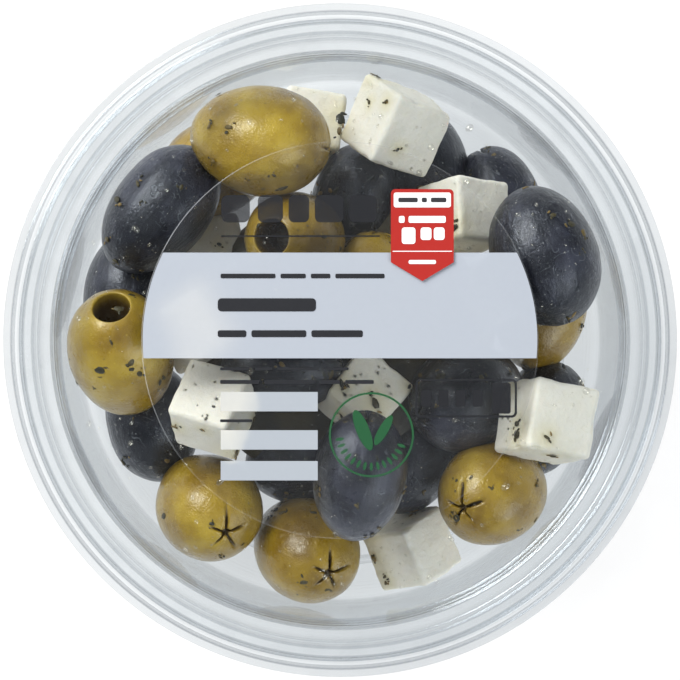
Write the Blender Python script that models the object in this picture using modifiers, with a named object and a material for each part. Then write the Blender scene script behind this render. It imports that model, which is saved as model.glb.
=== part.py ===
"""A shut clear tub of olives and white cheese cubes, with a press-on lid that carries a clear round label.

The tub and the lid are thin turned shells. The olives are one node, fused onto a smaller core that lies
hidden among them, and each cheese cube is a node of its own. All sizes are in metres, with +Z up.
"""

import math
import random

import bmesh
import bpy
import numpy as np
from mathutils import Matrix, Vector

MM = 0.001
CLEARANCE = 0.3 * MM

LID_RADIUS = 59.0 * MM
HEIGHT = 48.0 * MM
WALL = 0.5 * MM
SIDES = 60

PANEL_RADIUS = 49.2 * MM
PANEL_DEPTH = 5.0 * MM
PANEL_HEIGHT = HEIGHT - PANEL_DEPTH
LEDGE_RADIUS = 50.3 * MM
CROWN_INNER_RADIUS = 52.4 * MM
CROWN_OUTER_RADIUS = 56.0 * MM
SKIRT_RADIUS = 57.3 * MM
LIP_HEIGHT = HEIGHT - 4.1 * MM

RIM_HEIGHT = HEIGHT - 1.4 * MM
RIM_RADIUS = 55.6 * MM
MOUTH_RADIUS = 50.7 * MM
MOUTH_HEIGHT = HEIGHT - 5.8 * MM
BASE_RADIUS = 48.6 * MM
BASE_CORNER = 3.6 * MM
FOOT_RADIUS = 40.5 * MM
FOOT_RISE = 1.0 * MM

LABEL_RADIUS = 34.8 * MM
LABEL_THICKNESS = 0.15 * MM
BAND_TOP = 15.3 * MM
BAND_BOTTOM = -3.2 * MM
BADGE_LEFT = 8.9 * MM
BADGE_RIGHT = 19.9 * MM
BADGE_TOP = 26.4 * MM
BADGE_SHOULDER = 13.6 * MM
BADGE_POINT = 10.3 * MM
BADGE_CORNER = 0.8 * MM

CORE_RADIUS = 33.0 * MM
CORE_BOTTOM = 7.0 * MM
CORE_TOP = 21.0 * MM
CORE_SIDES = 24
FURTHEST_REST = 20.5 * MM
FILLER_THICKNESS = 11.0 * MM
PIT_HOLE_RADIUS = 3.3 * MM
PIT_HOLE_DEPTH = 8.0 * MM
SHOWING_OLIVE = (12, 7)
HIDDEN_OLIVE = (10, 6)
CUBE_UNEVENNESS = 0.45 * MM
CUBE_EDGE_ROUND = 0.6 * MM

EDGE_BALL = 0.8 * MM
OLIVE_GAP = -0.6 * MM
CHEESE_GAP = 0.4 * MM
WALL_GAP = 0.6 * MM
SETTLING_STEPS = 500
RESTING_STEP = 380
SINKING = 0.12 * MM
EAGERNESS = 1.6
STEPS_BETWEEN_SORTS = 20
SHOWING_HOLD = 0.15
HIDDEN_HOLD = 0.01
LAST_HOLD = 0.5

# The pieces, first those that lie hidden and then those that show from above. Each has its kind, where
# its middle starts (x, y, height), the compass turn of its long axis, how far that axis is lifted, its
# roll about it, its length and its thickness, in millimetres and degrees. A pitted olive's hole faces
# the way its axis is lifted.
PIECES = [
    ("green", -24.6, 30.0, 10, 30, 0, 0, 23.5, 17.6),
    ("green", -5.0, 16.0, 10, 60, 0, 0, 21.5, 16.4),
    ("black", -17.0, -3.0, 10, 88, 0, 0, 21.0, 16.2),
    ("green", 17.5, 1.0, 10, 165, 0, 0, 22.0, 16.8),
    ("black", -8.4, -19.5, 10, 15, 0, 0, 22.0, 16.8),
    ("cheese", 2.0, -1.0, 9, 40, 86, 0, 12.0, 12.2),
    ("green", 4.0, 8.4, 20, 80, 0, 0, 20.5, 15.6),
    ("black", 27.6, 26.4, 11, 118, 0, 0, 19.5, 14.2),
    ("black", 17.6, 31.2, 11, 100, 3, 0, 22.0, 15.2),
    ("black", 37.0, -13.6, 10, 68, 4, 0, 22.0, 16.6),
    ("green", 27.6, -26.8, 13, -156, 55, 0, 23.0, 18.8),
    ("cheese", 12.0, -35.4, 14, 11, 45, 16, 12.2, 12.0),
    ("black", 14.4, -22.0, 12, 50, 0, 0, 22.5, 17.4),
    ("green", -6.2, -38.2, 13, -43, 61, 0, 24.0, 18.6),
    ("green", -25.4, -28.8, 13, -50, 61, 0, 23.4, 19.0),
    ("black", -33.0, -16.6, 11, 100, 5, 0, 22.0, 17.0),
    ("black", -37.2, 8.0, 11, 82, 0, 0, 24.0, 17.6),
    ("cheese", -5.4, 41.0, 22, 60, 70, 20, 11.8, 11.8),
    ("cheese", -25.0, 15.2, 23, 70, 62, 30, 12.4, 12.2),
    ("cheese", -27.0, 1.8, 25, 200, 66, 10, 12.2, 12.4),
    ("cheese", -21.4, -10.0, 27, 103, 59, -32, 12.3, 12.3),
    ("cheese", 22.8, 22.4, 24, 17, 51, -19, 12.8, 12.6),
    ("cheese", 2.4, -8.4, 26, 40, 70, 10, 12.0, 12.0),
    ("green", 35.2, 4.6, 13, 82, -6, 0, 23.0, 17.6),
    ("cheese", 26.0, 6.4, 27, 30, 60, 0, 12.4, 12.2),
    ("black", 1.0, 26.0, 26, 72, 8, 0, 22.0, 15.6),
    ("pitted", -8.0, 18.0, 27, 178, 65, 0, 21.5, 17.2),
    ("black", -9.4, -6.2, 26, 4, 6, 0, 22.0, 16.4),
    ("black", 22.8, -10.2, 24, 200, 24, 0, 22.0, 19.0),
    ("black", 4.2, -22.6, 29, 82, 10, 0, 23.5, 16.8),
    ("green", -15.6, 36.6, 30, -8, 5, 0, 25.0, 19.8),
    ("black", -35.0, 26.2, 26, 50, 2, 0, 26.6, 17.4),
    ("cheese", 10.2, 39.4, 30, -39, 53, 18, 13.8, 13.6),
    ("black", 37.2, 15.4, 29, -72, 0, 0, 25.4, 19.4),
    ("cheese", 36.4, -15.0, 30, 12, 63, -23, 13.6, 13.4),
    ("pitted", -36.6, -1.2, 28, 99, 49, 0, 27.0, 18.8),
]
FIRST_SHOWING_PIECE = 7

PLASTIC = ("clear_plastic", (0.90, 0.93, 0.95, 0.22), 0.08)
LABEL_FILM = ("label_film", (0.94, 0.96, 0.97, 0.18), 0.12)
BAND_INK = ("band_ink", (0.70, 0.76, 0.84, 1.0), 0.35)
BADGE_INK = ("badge_ink", (0.70, 0.04, 0.03, 1.0), 0.35)
OLIVE_SKIN = ("olive_skin", (0.20, 0.16, 0.04, 1.0), 0.30)
CHEESE = ("cheese", (0.86, 0.84, 0.76, 1.0), 0.55)


def material(recipe):
    """A Principled material of a name, a colour with alpha, and a roughness."""
    name, colour, roughness = recipe
    found = bpy.data.materials.get(name)
    if found:
        return found
    made = bpy.data.materials.new(name)
    made.use_nodes = True
    shader = made.node_tree.nodes["Principled BSDF"]
    shader.inputs["Base Color"].default_value = colour[:3] + (1.0,)
    shader.inputs["Alpha"].default_value = colour[3]
    shader.inputs["Roughness"].default_value = roughness
    shader.inputs["Metallic"].default_value = 0.0
    return made


def add(name, data, collection, recipe):
    """An object of this mesh or curve, in the collection, with its material."""
    obj = bpy.data.objects.new(name, data)
    data.materials.clear()
    data.materials.append(material(recipe))
    collection.objects.link(obj)
    return obj


def evaluated_mesh(obj):
    """A new mesh of the object with its modifiers applied."""
    bpy.context.view_layer.update()
    graph = bpy.context.evaluated_depsgraph_get()
    return bpy.data.meshes.new_from_object(obj.evaluated_get(graph))


def rounded(corners, steps=2):
    """The outline through corners (radius, height, rounding), each corner drawn as an arc."""
    points = [Vector(corners[0][:2])]
    for before, corner, after in zip(corners, corners[1:], corners[2:]):
        here = Vector(corner[:2])
        arriving = (here - Vector(before[:2])).normalized()
        leaving = (Vector(after[:2]) - here).normalized()
        turn = math.atan2(arriving.cross(leaving), arriving.dot(leaving))
        if corner[2] == 0.0:
            points.append(here)
            continue
        start = here - arriving * corner[2] * math.tan(abs(turn) / 2)
        side = math.copysign(1.0, turn)
        centre = start + Vector((-arriving.y, arriving.x)) * side * corner[2]
        for step in range(steps + 1):
            spoke = (start - centre).copy()
            spoke.rotate(Matrix.Rotation(turn * step / steps, 2))
            points.append(centre + spoke)
    points.append(Vector(corners[-1][:2]))
    return points


def add_profile(name, points, sides, collection, recipe):
    """A profile of (radius, height) points at +X, turned about Z by a Screw modifier."""
    mesh = bpy.data.meshes.new(name)
    edges = [(i, i + 1) for i in range(len(points) - 1)]
    mesh.from_pydata([(point[0], 0.0, point[1]) for point in points], edges, [])
    obj = add(name, mesh, collection, recipe)
    screw = obj.modifiers.new("turn", "SCREW")
    screw.axis = "Z"
    screw.steps = sides
    screw.render_steps = sides
    screw.use_merge_vertices = True
    screw.merge_threshold = 0.02 * MM
    screw.use_smooth_shade = True
    return obj


def add_shell(name, outline, collection):
    """A turned wall of even thickness behind the outline that shows."""
    obj = add_profile(name, outline, SIDES, collection, PLASTIC)
    wall = obj.modifiers.new("wall", "SOLIDIFY")
    wall.thickness = WALL
    wall.offset = -1.0
    wall.use_even_offset = True
    return obj


def add_tub(collection):
    """The tub's outer side: curled rim, flared mouth, tapering wall, foot ring and raised base."""
    add_shell("tub", rounded([
        (RIM_RADIUS, LIP_HEIGHT + 0.6 * MM, 0.0),
        (RIM_RADIUS, RIM_HEIGHT, 0.5 * MM),
        (MOUTH_RADIUS + 2.9 * MM, RIM_HEIGHT, 0.6 * MM),
        (MOUTH_RADIUS, MOUTH_HEIGHT, 1.5 * MM),
        (BASE_RADIUS, 0.0, BASE_CORNER),
        (FOOT_RADIUS + FOOT_RISE, 0.0, 0.0),
        (FOOT_RADIUS, FOOT_RISE, 0.0),
        (0.0, FOOT_RISE, 0.0),
    ]), collection)


def add_lid(collection):
    """The lid's upper side: sunken panel, stepped plug wall, raised crown, skirt and outer lip."""
    add_shell("lid", rounded([
        (0.0, PANEL_HEIGHT, 0.0),
        (PANEL_RADIUS, PANEL_HEIGHT, 0.4 * MM),
        (PANEL_RADIUS + 0.4 * MM, PANEL_HEIGHT + 1.6 * MM, 0.0),
        (LEDGE_RADIUS, PANEL_HEIGHT + 1.9 * MM, 0.0),
        (CROWN_INNER_RADIUS, HEIGHT, 0.6 * MM),
        (CROWN_OUTER_RADIUS, HEIGHT, 0.9 * MM),
        (SKIRT_RADIUS, HEIGHT - 1.7 * MM, 0.8 * MM),
        (SKIRT_RADIUS + 0.2 * MM, LIP_HEIGHT, 0.0),
        (LID_RADIUS, LIP_HEIGHT - 0.1 * MM, 0.0),
    ]), collection)


def arc(radius, start, end, steps):
    """Points on a circle about the origin, from one angle to another."""
    angles = [start + (end - start) * step / steps for step in range(steps + 1)]
    return [(radius * math.cos(angle), radius * math.sin(angle)) for angle in angles]


def add_flat(name, outline, bottom, collection, recipe):
    """A thin plate of this outline whose underside is at the given height."""
    curve = bpy.data.curves.new(name, "CURVE")
    curve.dimensions = "2D"
    curve.fill_mode = "BOTH"
    curve.extrude = LABEL_THICKNESS / 2
    spline = curve.splines.new("POLY")
    spline.points.add(len(outline) - 1)
    for point, (x, y) in zip(spline.points, outline):
        point.co = (x, y, 0.0, 1.0)
    spline.use_cyclic_u = True
    obj = add(name, curve, collection, recipe)
    obj.location.z = bottom + LABEL_THICKNESS / 2
    return obj


def add_label(collection):
    """The clear round film on the panel, the pale band printed across it and the pentagon sticker on it."""
    film = PANEL_HEIGHT + CLEARANCE
    band = film + LABEL_THICKNESS + CLEARANCE
    badge = band + LABEL_THICKNESS + CLEARANCE
    add_flat("label", arc(LABEL_RADIUS, 0.0, math.tau, SIDES)[:-1], film, collection, LABEL_FILM)
    radius = LABEL_RADIUS - 0.2 * MM
    top = math.asin(BAND_TOP / radius)
    bottom = math.asin(BAND_BOTTOM / radius)
    ends = arc(radius, bottom, top, 8) + arc(radius, math.pi - top, math.pi - bottom, 8)
    add_flat("label_band", ends, band, collection, BAND_INK)
    middle = (BADGE_LEFT + BADGE_RIGHT) / 2
    corner = BADGE_CORNER
    add_flat("sticker", [
        (BADGE_LEFT, BADGE_SHOULDER),
        (middle, BADGE_POINT),
        (BADGE_RIGHT, BADGE_SHOULDER),
        (BADGE_RIGHT, BADGE_TOP - corner),
        (BADGE_RIGHT - corner, BADGE_TOP),
        (BADGE_LEFT + corner, BADGE_TOP),
        (BADGE_LEFT, BADGE_TOP - corner),
    ], badge, collection, BADGE_INK)


def turning(piece):
    """The turn of a piece: its own +Z becomes its long axis."""
    turn, lift, roll = (math.radians(angle) for angle in piece[4:7])
    axis = Matrix.Rotation(turn, 3, "Z") @ Matrix.Rotation(math.pi / 2 - lift, 3, "Y")
    return axis @ Matrix.Rotation(roll, 3, "Z")


def half_sizes(piece):
    """Half the thickness twice, and half the length."""
    return np.array([piece[8], piece[8], piece[7]]) * MM / 2


def balls_in(piece):
    """Balls that stand for a piece while the heap settles, as offsets from its middle and radii.

    An olive holds a row of balls that touch its skin all round: one at c along an axis of half length
    a has the radius b * sqrt(1 - c * c / (a * a - b * b)), where b is half the thickness. A cube holds
    one ball that touches its faces, one in each of its eighths, and small ones along its edges.
    """
    half = half_sizes(piece)
    if piece[0] == "cheese":
        marks = [-1.0, -0.5, 0.0, 0.5, 1.0]
        steps = np.stack(np.meshgrid(marks, marks, marks), axis=-1).reshape(-1, 3)
        edges = steps[(np.abs(steps) == 1.0).sum(axis=1) > 1]
        eighths = steps[(np.abs(steps) == 0.5).all(axis=1)]
        own = np.vstack([np.zeros(3), eighths * half, edges * (half - EDGE_BALL)])
        radii = np.repeat([half.min(), half.min() / 2, EDGE_BALL], [1, len(eighths), len(edges)])
    else:
        spread = half[2] ** 2 - half[0] ** 2
        along = np.array([-1.0, -0.55, 0.0, 0.55, 1.0]) * spread / half[2]
        own = np.outer(along, [0.0, 0.0, 1.0])
        radii = half[0] * np.sqrt(1 - along**2 / spread)
    return own @ np.array(turning(piece)).T, radii


def wall_radius(height):
    """The radius of the tub's inner side at each height: the floor's rounded corner, then the wall."""
    floor = FOOT_RISE + WALL
    return np.interp(height, [floor, floor + BASE_CORNER, MOUTH_HEIGHT],
                     [BASE_RADIUS - BASE_CORNER, BASE_RADIUS - WALL, MOUTH_RADIUS - WALL])


def settled(pieces):
    """The centre of each piece once the heap has settled.

    Every piece sinks a little at each step and is drawn to its own place as seen from above, less and
    less as the heap comes to rest. Balls that overlap push their pieces apart by half the overlap
    each, and a piece moves by the mean of what pushes it. Then the tub's floor and wall and the lid
    push it back inside by all that it sticks out.
    """
    offsets, radii = zip(*map(balls_in, pieces))
    count = len(pieces)
    owner = np.repeat(np.arange(count), [len(found) for found in radii])
    size = np.array([np.hypot(1.4 * half[0], half[2]) for half in map(half_sizes, pieces)])
    offsets, radii = np.vstack(offsets), np.concatenate(radii)
    gaps = np.array([CHEESE_GAP if piece[0] == "cheese" else OLIVE_GAP for piece in pieces])[owner]
    place = np.array([piece[1:4] for piece in pieces]) * MM
    home = place[:, :2].copy()
    hold = np.where(np.arange(count) < FIRST_SHOWING_PIECE, HIDDEN_HOLD, SHOWING_HOLD)[:, None]

    starts = np.flatnonzero(np.diff(owner, prepend=-1))

    def per_piece(owners, values):
        return np.stack([np.bincount(owners, values[:, axis], count) for axis in range(3)], axis=1)

    def furthest(values):
        return np.maximum(np.maximum.reduceat(values, starts), 0.0)

    for step in range(SETTLING_STEPS):
        if step % STEPS_BETWEEN_SORTS == 0:
            between = np.linalg.norm(place[:, None] - place[None, :], axis=-1)
            near = np.triu(between < size[:, None] + size[None, :], 1)
            first, second = np.nonzero(near[owner[:, None], owner[None, :]])
            touching = (radii + gaps)[first] + (radii + gaps)[second]
        unrest = max(0.0, 1 - step / RESTING_STEP)
        place[:, 2] -= SINKING * unrest
        place[:, :2] += (home - place[:, :2]) * hold * max(unrest, LAST_HOLD)
        balls = place[owner] + offsets
        apart = balls[first] - balls[second]
        distance = np.sqrt((apart**2).sum(axis=1)) + 1e-9
        hit = distance < touching
        a, b = owner[first[hit]], owner[second[hit]]
        shift = apart[hit] * ((touching - distance) / distance / 2)[hit][:, None]
        push = per_piece(a, shift) - per_piece(b, shift)
        contacts = np.bincount(a, minlength=count) + np.bincount(b, minlength=count)
        place += push / np.maximum(contacts, 1.0)[:, None] * EAGERNESS
        balls = place[owner] + offsets
        out = np.hypot(balls[:, 0], balls[:, 1])
        past_wall = furthest(out + radii + WALL_GAP - wall_radius(balls[:, 2]))
        place[:, :2] -= place[:, :2] * (past_wall / (np.hypot(place[:, 0], place[:, 1]) + 1e-9))[:, None]
        place[:, 2] += furthest(FOOT_RISE + WALL + WALL_GAP - balls[:, 2] + radii)
        place[:, 2] -= furthest(balls[:, 2] + radii + WALL_GAP - PANEL_HEIGHT + WALL)
    return [Vector(centre) for centre in place]


def olive_outline(piece, rings):
    """Half the outline of an olive, from its lifted end down to the other, with its pit hole if it shows.

    It is an ellipse whose thickest part lies a little nearer to one end.
    """
    radius, _, half_length = half_sizes(piece)
    pitted = piece[0] == "pitted"
    first = math.asin((PIT_HOLE_RADIUS + 0.6 * MM) / radius) if pitted else 0.0
    angles = [first + (math.pi - first) * ring / rings for ring in range(rings + 1)]
    outline = [(radius * math.sin(a) * (1 + 0.05 * math.cos(a)), half_length * math.cos(a)) for a in angles]
    outline[-1] = (0.0, -half_length)
    if pitted:
        edge = outline[0][1] - 0.5 * MM
        bottom = edge - PIT_HOLE_DEPTH
        outline = [(0.0, bottom), (PIT_HOLE_RADIUS * 0.8, bottom), (PIT_HOLE_RADIUS, edge)] + outline
    return outline


def add_olive(piece, centre, fineness, collection):
    """One olive, turned about its long axis and put in its place."""
    sides, rings = fineness
    obj = add_profile("olive", olive_outline(piece, rings), sides, collection, OLIVE_SKIN)
    obj.matrix_world = Matrix.Translation(centre) @ turning(piece).to_4x4()
    return obj


def filler(upper, lower):
    """A slim olive that lies hidden between two others, as a piece that reaches from one middle to the other."""
    along = upper - lower
    turn = math.degrees(math.atan2(along.y, along.x))
    lift = math.degrees(math.asin(along.z / along.length))
    return "green", 0, 0, 0, turn, lift, 0, along.length / MM, FILLER_THICKNESS / MM


def cube_mesh(piece, centre, seed, growth=0.0):
    """A cheese cube, cut a little unevenly, with softened edges. Growth moves every side out."""
    cut = random.Random(seed)
    form = bmesh.new()
    bmesh.ops.create_cube(form, size=2.0)
    half = Vector(half_sizes(piece))
    for vert in form.verts:
        uneven = Vector([cut.uniform(-CUBE_UNEVENNESS, 0.0) for _ in range(3)])
        corner = [sign * (side + shift + growth) for sign, side, shift in zip(vert.co, half, uneven)]
        vert.co = corner
    edges = list(form.edges)
    bmesh.ops.bevel(form, geom=edges, offset=CUBE_EDGE_ROUND, segments=1, affect="EDGES", profile=0.5)
    bmesh.ops.transform(form, matrix=Matrix.Translation(centre) @ turning(piece).to_4x4(), verts=form.verts)
    bmesh.ops.recalc_face_normals(form, faces=form.faces)
    mesh = bpy.data.meshes.new("cube")
    form.to_mesh(mesh)
    form.free()
    return mesh


def boolean(obj, operation, collection):
    """The object joined with, or cut by, everything in the collection, as a new mesh."""
    modifier = obj.modifiers.new("joined", "BOOLEAN")
    modifier.operation = operation
    modifier.operand_type = "COLLECTION"
    modifier.collection = collection
    modifier.solver = "MANIFOLD"
    obj.data = evaluated_mesh(obj)
    obj.modifiers.clear()


def clear_collection(collection):
    for obj in list(collection.objects):
        bpy.data.objects.remove(obj)
    bpy.data.collections.remove(collection)


def island_of(start, seen):
    """The faces that are joined to a face by shared edges."""
    found, waiting = [], [start]
    seen.add(start)
    while waiting:
        face = waiting.pop()
        found.append(face)
        for edge in face.edges:
            for other in edge.link_faces:
                if other not in seen:
                    seen.add(other)
                    waiting.append(other)
    return found


def volume_inside(faces):
    """The volume inside some faces, less than nothing where they surround a hollow."""
    total = 0.0
    for face in faces:
        corners = [vert.co for vert in face.verts]
        for i in range(1, len(corners) - 1):
            total += corners[0].dot(corners[i].cross(corners[i + 1])) / 6
    return total


def keep_one_body(mesh):
    """Fills every sealed hollow and drops every loose scrap, so that the largest body is left."""
    form = bmesh.new()
    form.from_mesh(mesh)
    seen = set()
    islands = [island_of(face, seen) for face in form.faces if face not in seen]
    body = max(islands, key=volume_inside)
    spare = [face for island in islands if island is not body for face in island]
    bmesh.ops.delete(form, geom=spare, context="FACES")
    form.to_mesh(mesh)
    form.free()


def add_contents(collection):
    """The heap of olives on its core, and the cheese cubes, which the heap keeps clear of."""
    tools = bpy.data.collections.new("tools")
    cutters = bpy.data.collections.new("cutters")
    bpy.context.scene.collection.children.link(tools)
    bpy.context.scene.collection.children.link(cutters)
    centres = settled(PIECES)
    olives = [centre for piece, centre in zip(PIECES, centres) if piece[0] != "cheese"]
    for upper in olives:
        if upper.z > CORE_TOP:
            lower = min((olive for olive in olives if olive.z < upper.z - MM),
                        key=lambda olive: (olive - upper).length)
            if (upper - lower).length > FURTHEST_REST:
                add_olive(filler(upper, lower), (upper + lower) / 2, HIDDEN_OLIVE, tools)
    cubes = 0
    for index, (piece, centre) in enumerate(zip(PIECES, centres)):
        if piece[0] != "cheese":
            fineness = SHOWING_OLIVE if index >= FIRST_SHOWING_PIECE else HIDDEN_OLIVE
            add_olive(piece, centre, fineness, tools)
            continue
        cubes += 1
        add(f"cheese_cube_{cubes:02d}", cube_mesh(piece, centre, index), collection, CHEESE)
        add("cutter", cube_mesh(piece, centre, index, CLEARANCE), cutters, CHEESE)
    core_outline = rounded([
        (0.0, CORE_TOP, 0.0),
        (CORE_RADIUS, CORE_TOP, 6.0 * MM),
        (CORE_RADIUS, CORE_BOTTOM, 6.0 * MM),
        (0.0, CORE_BOTTOM, 0.0),
    ])
    heap = add_profile("olive_heap", core_outline, CORE_SIDES, collection, OLIVE_SKIN)
    heap.data = evaluated_mesh(heap)
    heap.modifiers.clear()
    boolean(heap, "UNION", tools)
    boolean(heap, "DIFFERENCE", cutters)
    keep_one_body(heap.data)
    clear_collection(tools)
    clear_collection(cutters)


def main():
    for obj in list(bpy.data.objects):
        bpy.data.objects.remove(obj)
    collection = bpy.data.collections.new("olive_tub")
    bpy.context.scene.collection.children.link(collection)
    add_tub(collection)
    add_lid(collection)
    add_label(collection)
    add_contents(collection)


main()
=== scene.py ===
"""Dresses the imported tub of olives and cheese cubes: clear plastic, printed film, skins, crumb and herbs.

The file is laid out as a Blender add-on and is run as a script. Each operator makes one piece, or a group
of like pieces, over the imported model, which is loaded first as a fixed frame. Sizes are in metres, and
those of the label's print are in millimetres.
"""

import math
import random

import bpy
import numpy as np
from bpy.props import FloatProperty, FloatVectorProperty, IntProperty, PointerProperty
from mathutils import Matrix, Vector


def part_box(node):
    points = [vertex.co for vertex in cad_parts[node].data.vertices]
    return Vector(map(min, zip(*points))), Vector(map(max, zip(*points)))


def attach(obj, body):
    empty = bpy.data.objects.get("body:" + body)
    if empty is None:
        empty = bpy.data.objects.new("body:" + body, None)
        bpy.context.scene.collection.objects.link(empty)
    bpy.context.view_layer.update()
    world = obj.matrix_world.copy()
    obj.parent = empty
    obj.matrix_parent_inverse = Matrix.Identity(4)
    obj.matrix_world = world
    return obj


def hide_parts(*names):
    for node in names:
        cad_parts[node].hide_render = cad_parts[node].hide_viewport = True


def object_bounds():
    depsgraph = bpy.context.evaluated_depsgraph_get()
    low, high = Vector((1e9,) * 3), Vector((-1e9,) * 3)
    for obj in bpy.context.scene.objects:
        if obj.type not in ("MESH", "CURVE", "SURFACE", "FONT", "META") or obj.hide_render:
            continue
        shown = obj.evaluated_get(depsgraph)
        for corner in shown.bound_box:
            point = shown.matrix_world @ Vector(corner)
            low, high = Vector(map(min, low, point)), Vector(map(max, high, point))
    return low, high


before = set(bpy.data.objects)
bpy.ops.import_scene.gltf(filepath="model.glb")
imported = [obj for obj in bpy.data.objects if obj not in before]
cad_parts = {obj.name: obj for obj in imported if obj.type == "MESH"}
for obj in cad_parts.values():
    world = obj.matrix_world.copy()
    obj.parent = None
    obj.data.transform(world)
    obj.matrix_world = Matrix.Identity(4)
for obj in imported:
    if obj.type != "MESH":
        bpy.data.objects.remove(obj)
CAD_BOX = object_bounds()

bl_info = {
    "name": "Olive Tub",
    "version": (1, 0, 0),
    "blender": (4, 5, 0),
    "location": "3D View > Sidebar > Olive Tub",
    "description": "Builds a shut clear tub of olives and white cheese cubes",
    "category": "Add Mesh",
}

MM = 0.001
TUB_SIDES = 192

PANEL_RADIUS = 49.2 * MM
PANEL_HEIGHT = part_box("label")[0].z - 0.3 * MM
HEIGHT = CAD_BOX[1].z
WALL = 0.5 * MM
LEDGE_RADIUS = 50.3 * MM
CROWN_INNER_RADIUS = 52.4 * MM
CROWN_OUTER_RADIUS = 56.0 * MM
SKIRT_RADIUS = 57.3 * MM
LID_RADIUS = CAD_BOX[1].x
LIP_HEIGHT = HEIGHT - 4.1 * MM
RIM_HEIGHT = HEIGHT - 1.4 * MM
RIM_RADIUS = 55.6 * MM
MOUTH_RADIUS = 50.7 * MM
MOUTH_HEIGHT = HEIGHT - 5.8 * MM
BASE_RADIUS = 48.6 * MM
BASE_CORNER = 3.6 * MM
FOOT_RADIUS = 40.5 * MM
FOOT_RISE = 1.0 * MM
BEND_FADE = 0.12 * MM

FILM_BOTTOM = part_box("label")[0].z
FILM_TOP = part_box("label")[1].z
FILM_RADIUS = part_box("label")[1].x
BAND_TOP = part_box("label_band")[1].y
BAND_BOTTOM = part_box("label_band")[0].y
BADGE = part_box("sticker")
INK = 0.03 * MM
PRINT_GAP = 0.02 * MM

PIT_HOLE_RADIUS = 3.3 * MM
PIT_HOLE_DEPTH = 8.0 * MM
PIT_LIP = 0.8 * MM
STAR_REACH = 3.4 * MM
STAR_DEPTH = 1.5 * MM
CUBE_UNEVENNESS = 0.45 * MM
CUBE_STEPS = 26
CORE_RADIUS = 27.0 * MM
CORE_MIDDLE = 13.5 * MM
CORE_HALF_HEIGHT = 5.5 * MM
CRUMBS = 2
PALE_DEPTH = 24.0 * MM
PALE_BLENDS = 7
CHEESE_FLAKES = 1.2

EDGE_BALL = 0.8 * MM
OLIVE_GAP = -0.6 * MM
CHEESE_GAP = 0.4 * MM
WALL_GAP = 0.6 * MM
SETTLING_STEPS = 500
RESTING_STEP = 380
SINKING = 0.12 * MM
EAGERNESS = 1.6
STEPS_BETWEEN_SORTS = 20
SHOWING_HOLD = 0.15
HIDDEN_HOLD = 0.01
LAST_HOLD = 0.5

# The pieces of the heap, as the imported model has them: kind, where the middle starts (x, y, height), the
# compass turn of the long axis, how far that axis is lifted, the roll about it, length and thickness, in
# millimetres and degrees. A pitted olive's hole faces the way its axis is lifted.
PIECES = [
    ("green", -24.6, 30.0, 10, 30, 0, 0, 23.5, 17.6),
    ("green", -5.0, 16.0, 10, 60, 0, 0, 21.5, 16.4),
    ("black", -17.0, -3.0, 10, 88, 0, 0, 21.0, 16.2),
    ("green", 17.5, 1.0, 10, 165, 0, 0, 22.0, 16.8),
    ("black", -8.4, -19.5, 10, 15, 0, 0, 22.0, 16.8),
    ("cheese", 2.0, -1.0, 9, 40, 86, 0, 12.0, 12.2),
    ("green", 4.0, 8.4, 20, 80, 0, 0, 20.5, 15.6),
    ("black", 27.6, 26.4, 11, 118, 0, 0, 19.5, 14.2),
    ("black", 17.6, 31.2, 11, 100, 3, 0, 22.0, 15.2),
    ("black", 37.0, -13.6, 10, 68, 4, 0, 22.0, 16.6),
    ("green", 27.6, -26.8, 13, -156, 55, 0, 23.0, 18.8),
    ("cheese", 12.0, -35.4, 14, 11, 45, 16, 12.2, 12.0),
    ("black", 14.4, -22.0, 12, 50, 0, 0, 22.5, 17.4),
    ("green", -6.2, -38.2, 13, -43, 61, 0, 24.0, 18.6),
    ("green", -25.4, -28.8, 13, -50, 61, 0, 23.4, 19.0),
    ("black", -33.0, -16.6, 11, 100, 5, 0, 22.0, 17.0),
    ("black", -37.2, 8.0, 11, 82, 0, 0, 24.0, 17.6),
    ("cheese", -5.4, 41.0, 22, 60, 70, 20, 11.8, 11.8),
    ("cheese", -25.0, 15.2, 23, 70, 62, 30, 12.4, 12.2),
    ("cheese", -27.0, 1.8, 25, 200, 66, 10, 12.2, 12.4),
    ("cheese", -21.4, -10.0, 27, 103, 59, -32, 12.3, 12.3),
    ("cheese", 22.8, 22.4, 24, 17, 51, -19, 12.8, 12.6),
    ("cheese", 2.4, -8.4, 26, 40, 70, 10, 12.0, 12.0),
    ("green", 35.2, 4.6, 13, 82, -6, 0, 23.0, 17.6),
    ("cheese", 26.0, 6.4, 27, 30, 60, 0, 12.4, 12.2),
    ("black", 1.0, 26.0, 26, 72, 8, 0, 22.0, 15.6),
    ("pitted", -8.0, 18.0, 27, 178, 65, 0, 21.5, 17.2),
    ("black", -9.4, -6.2, 26, 4, 6, 0, 22.0, 16.4),
    ("black", 22.8, -10.2, 24, 200, 24, 0, 22.0, 19.0),
    ("black", 4.2, -22.6, 29, 82, 10, 0, 23.5, 16.8),
    ("green", -15.6, 36.6, 30, -8, 5, 0, 25.0, 19.8),
    ("black", -35.0, 26.2, 26, 50, 2, 0, 26.6, 17.4),
    ("cheese", 10.2, 39.4, 30, -39, 53, 18, 13.8, 13.6),
    ("black", 37.2, 15.4, 29, -72, 0, 0, 25.4, 19.4),
    ("cheese", 36.4, -15.0, 30, 12, 63, -23, 13.6, 13.4),
    ("pitted", -36.6, -1.2, 28, 99, 49, 0, 27.0, 18.8),
]
FIRST_SHOWING_PIECE = 7


def colour(name, description, rgb):
    """A colour of the panel."""
    return FloatVectorProperty(
        name=name, description=description, subtype="COLOR", size=4, default=rgb + (1.0,), min=0, max=1)


def count(name, description, default, most):
    """A whole number of the panel."""
    return IntProperty(name=name, description=description, default=default, min=0, max=most)


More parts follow.
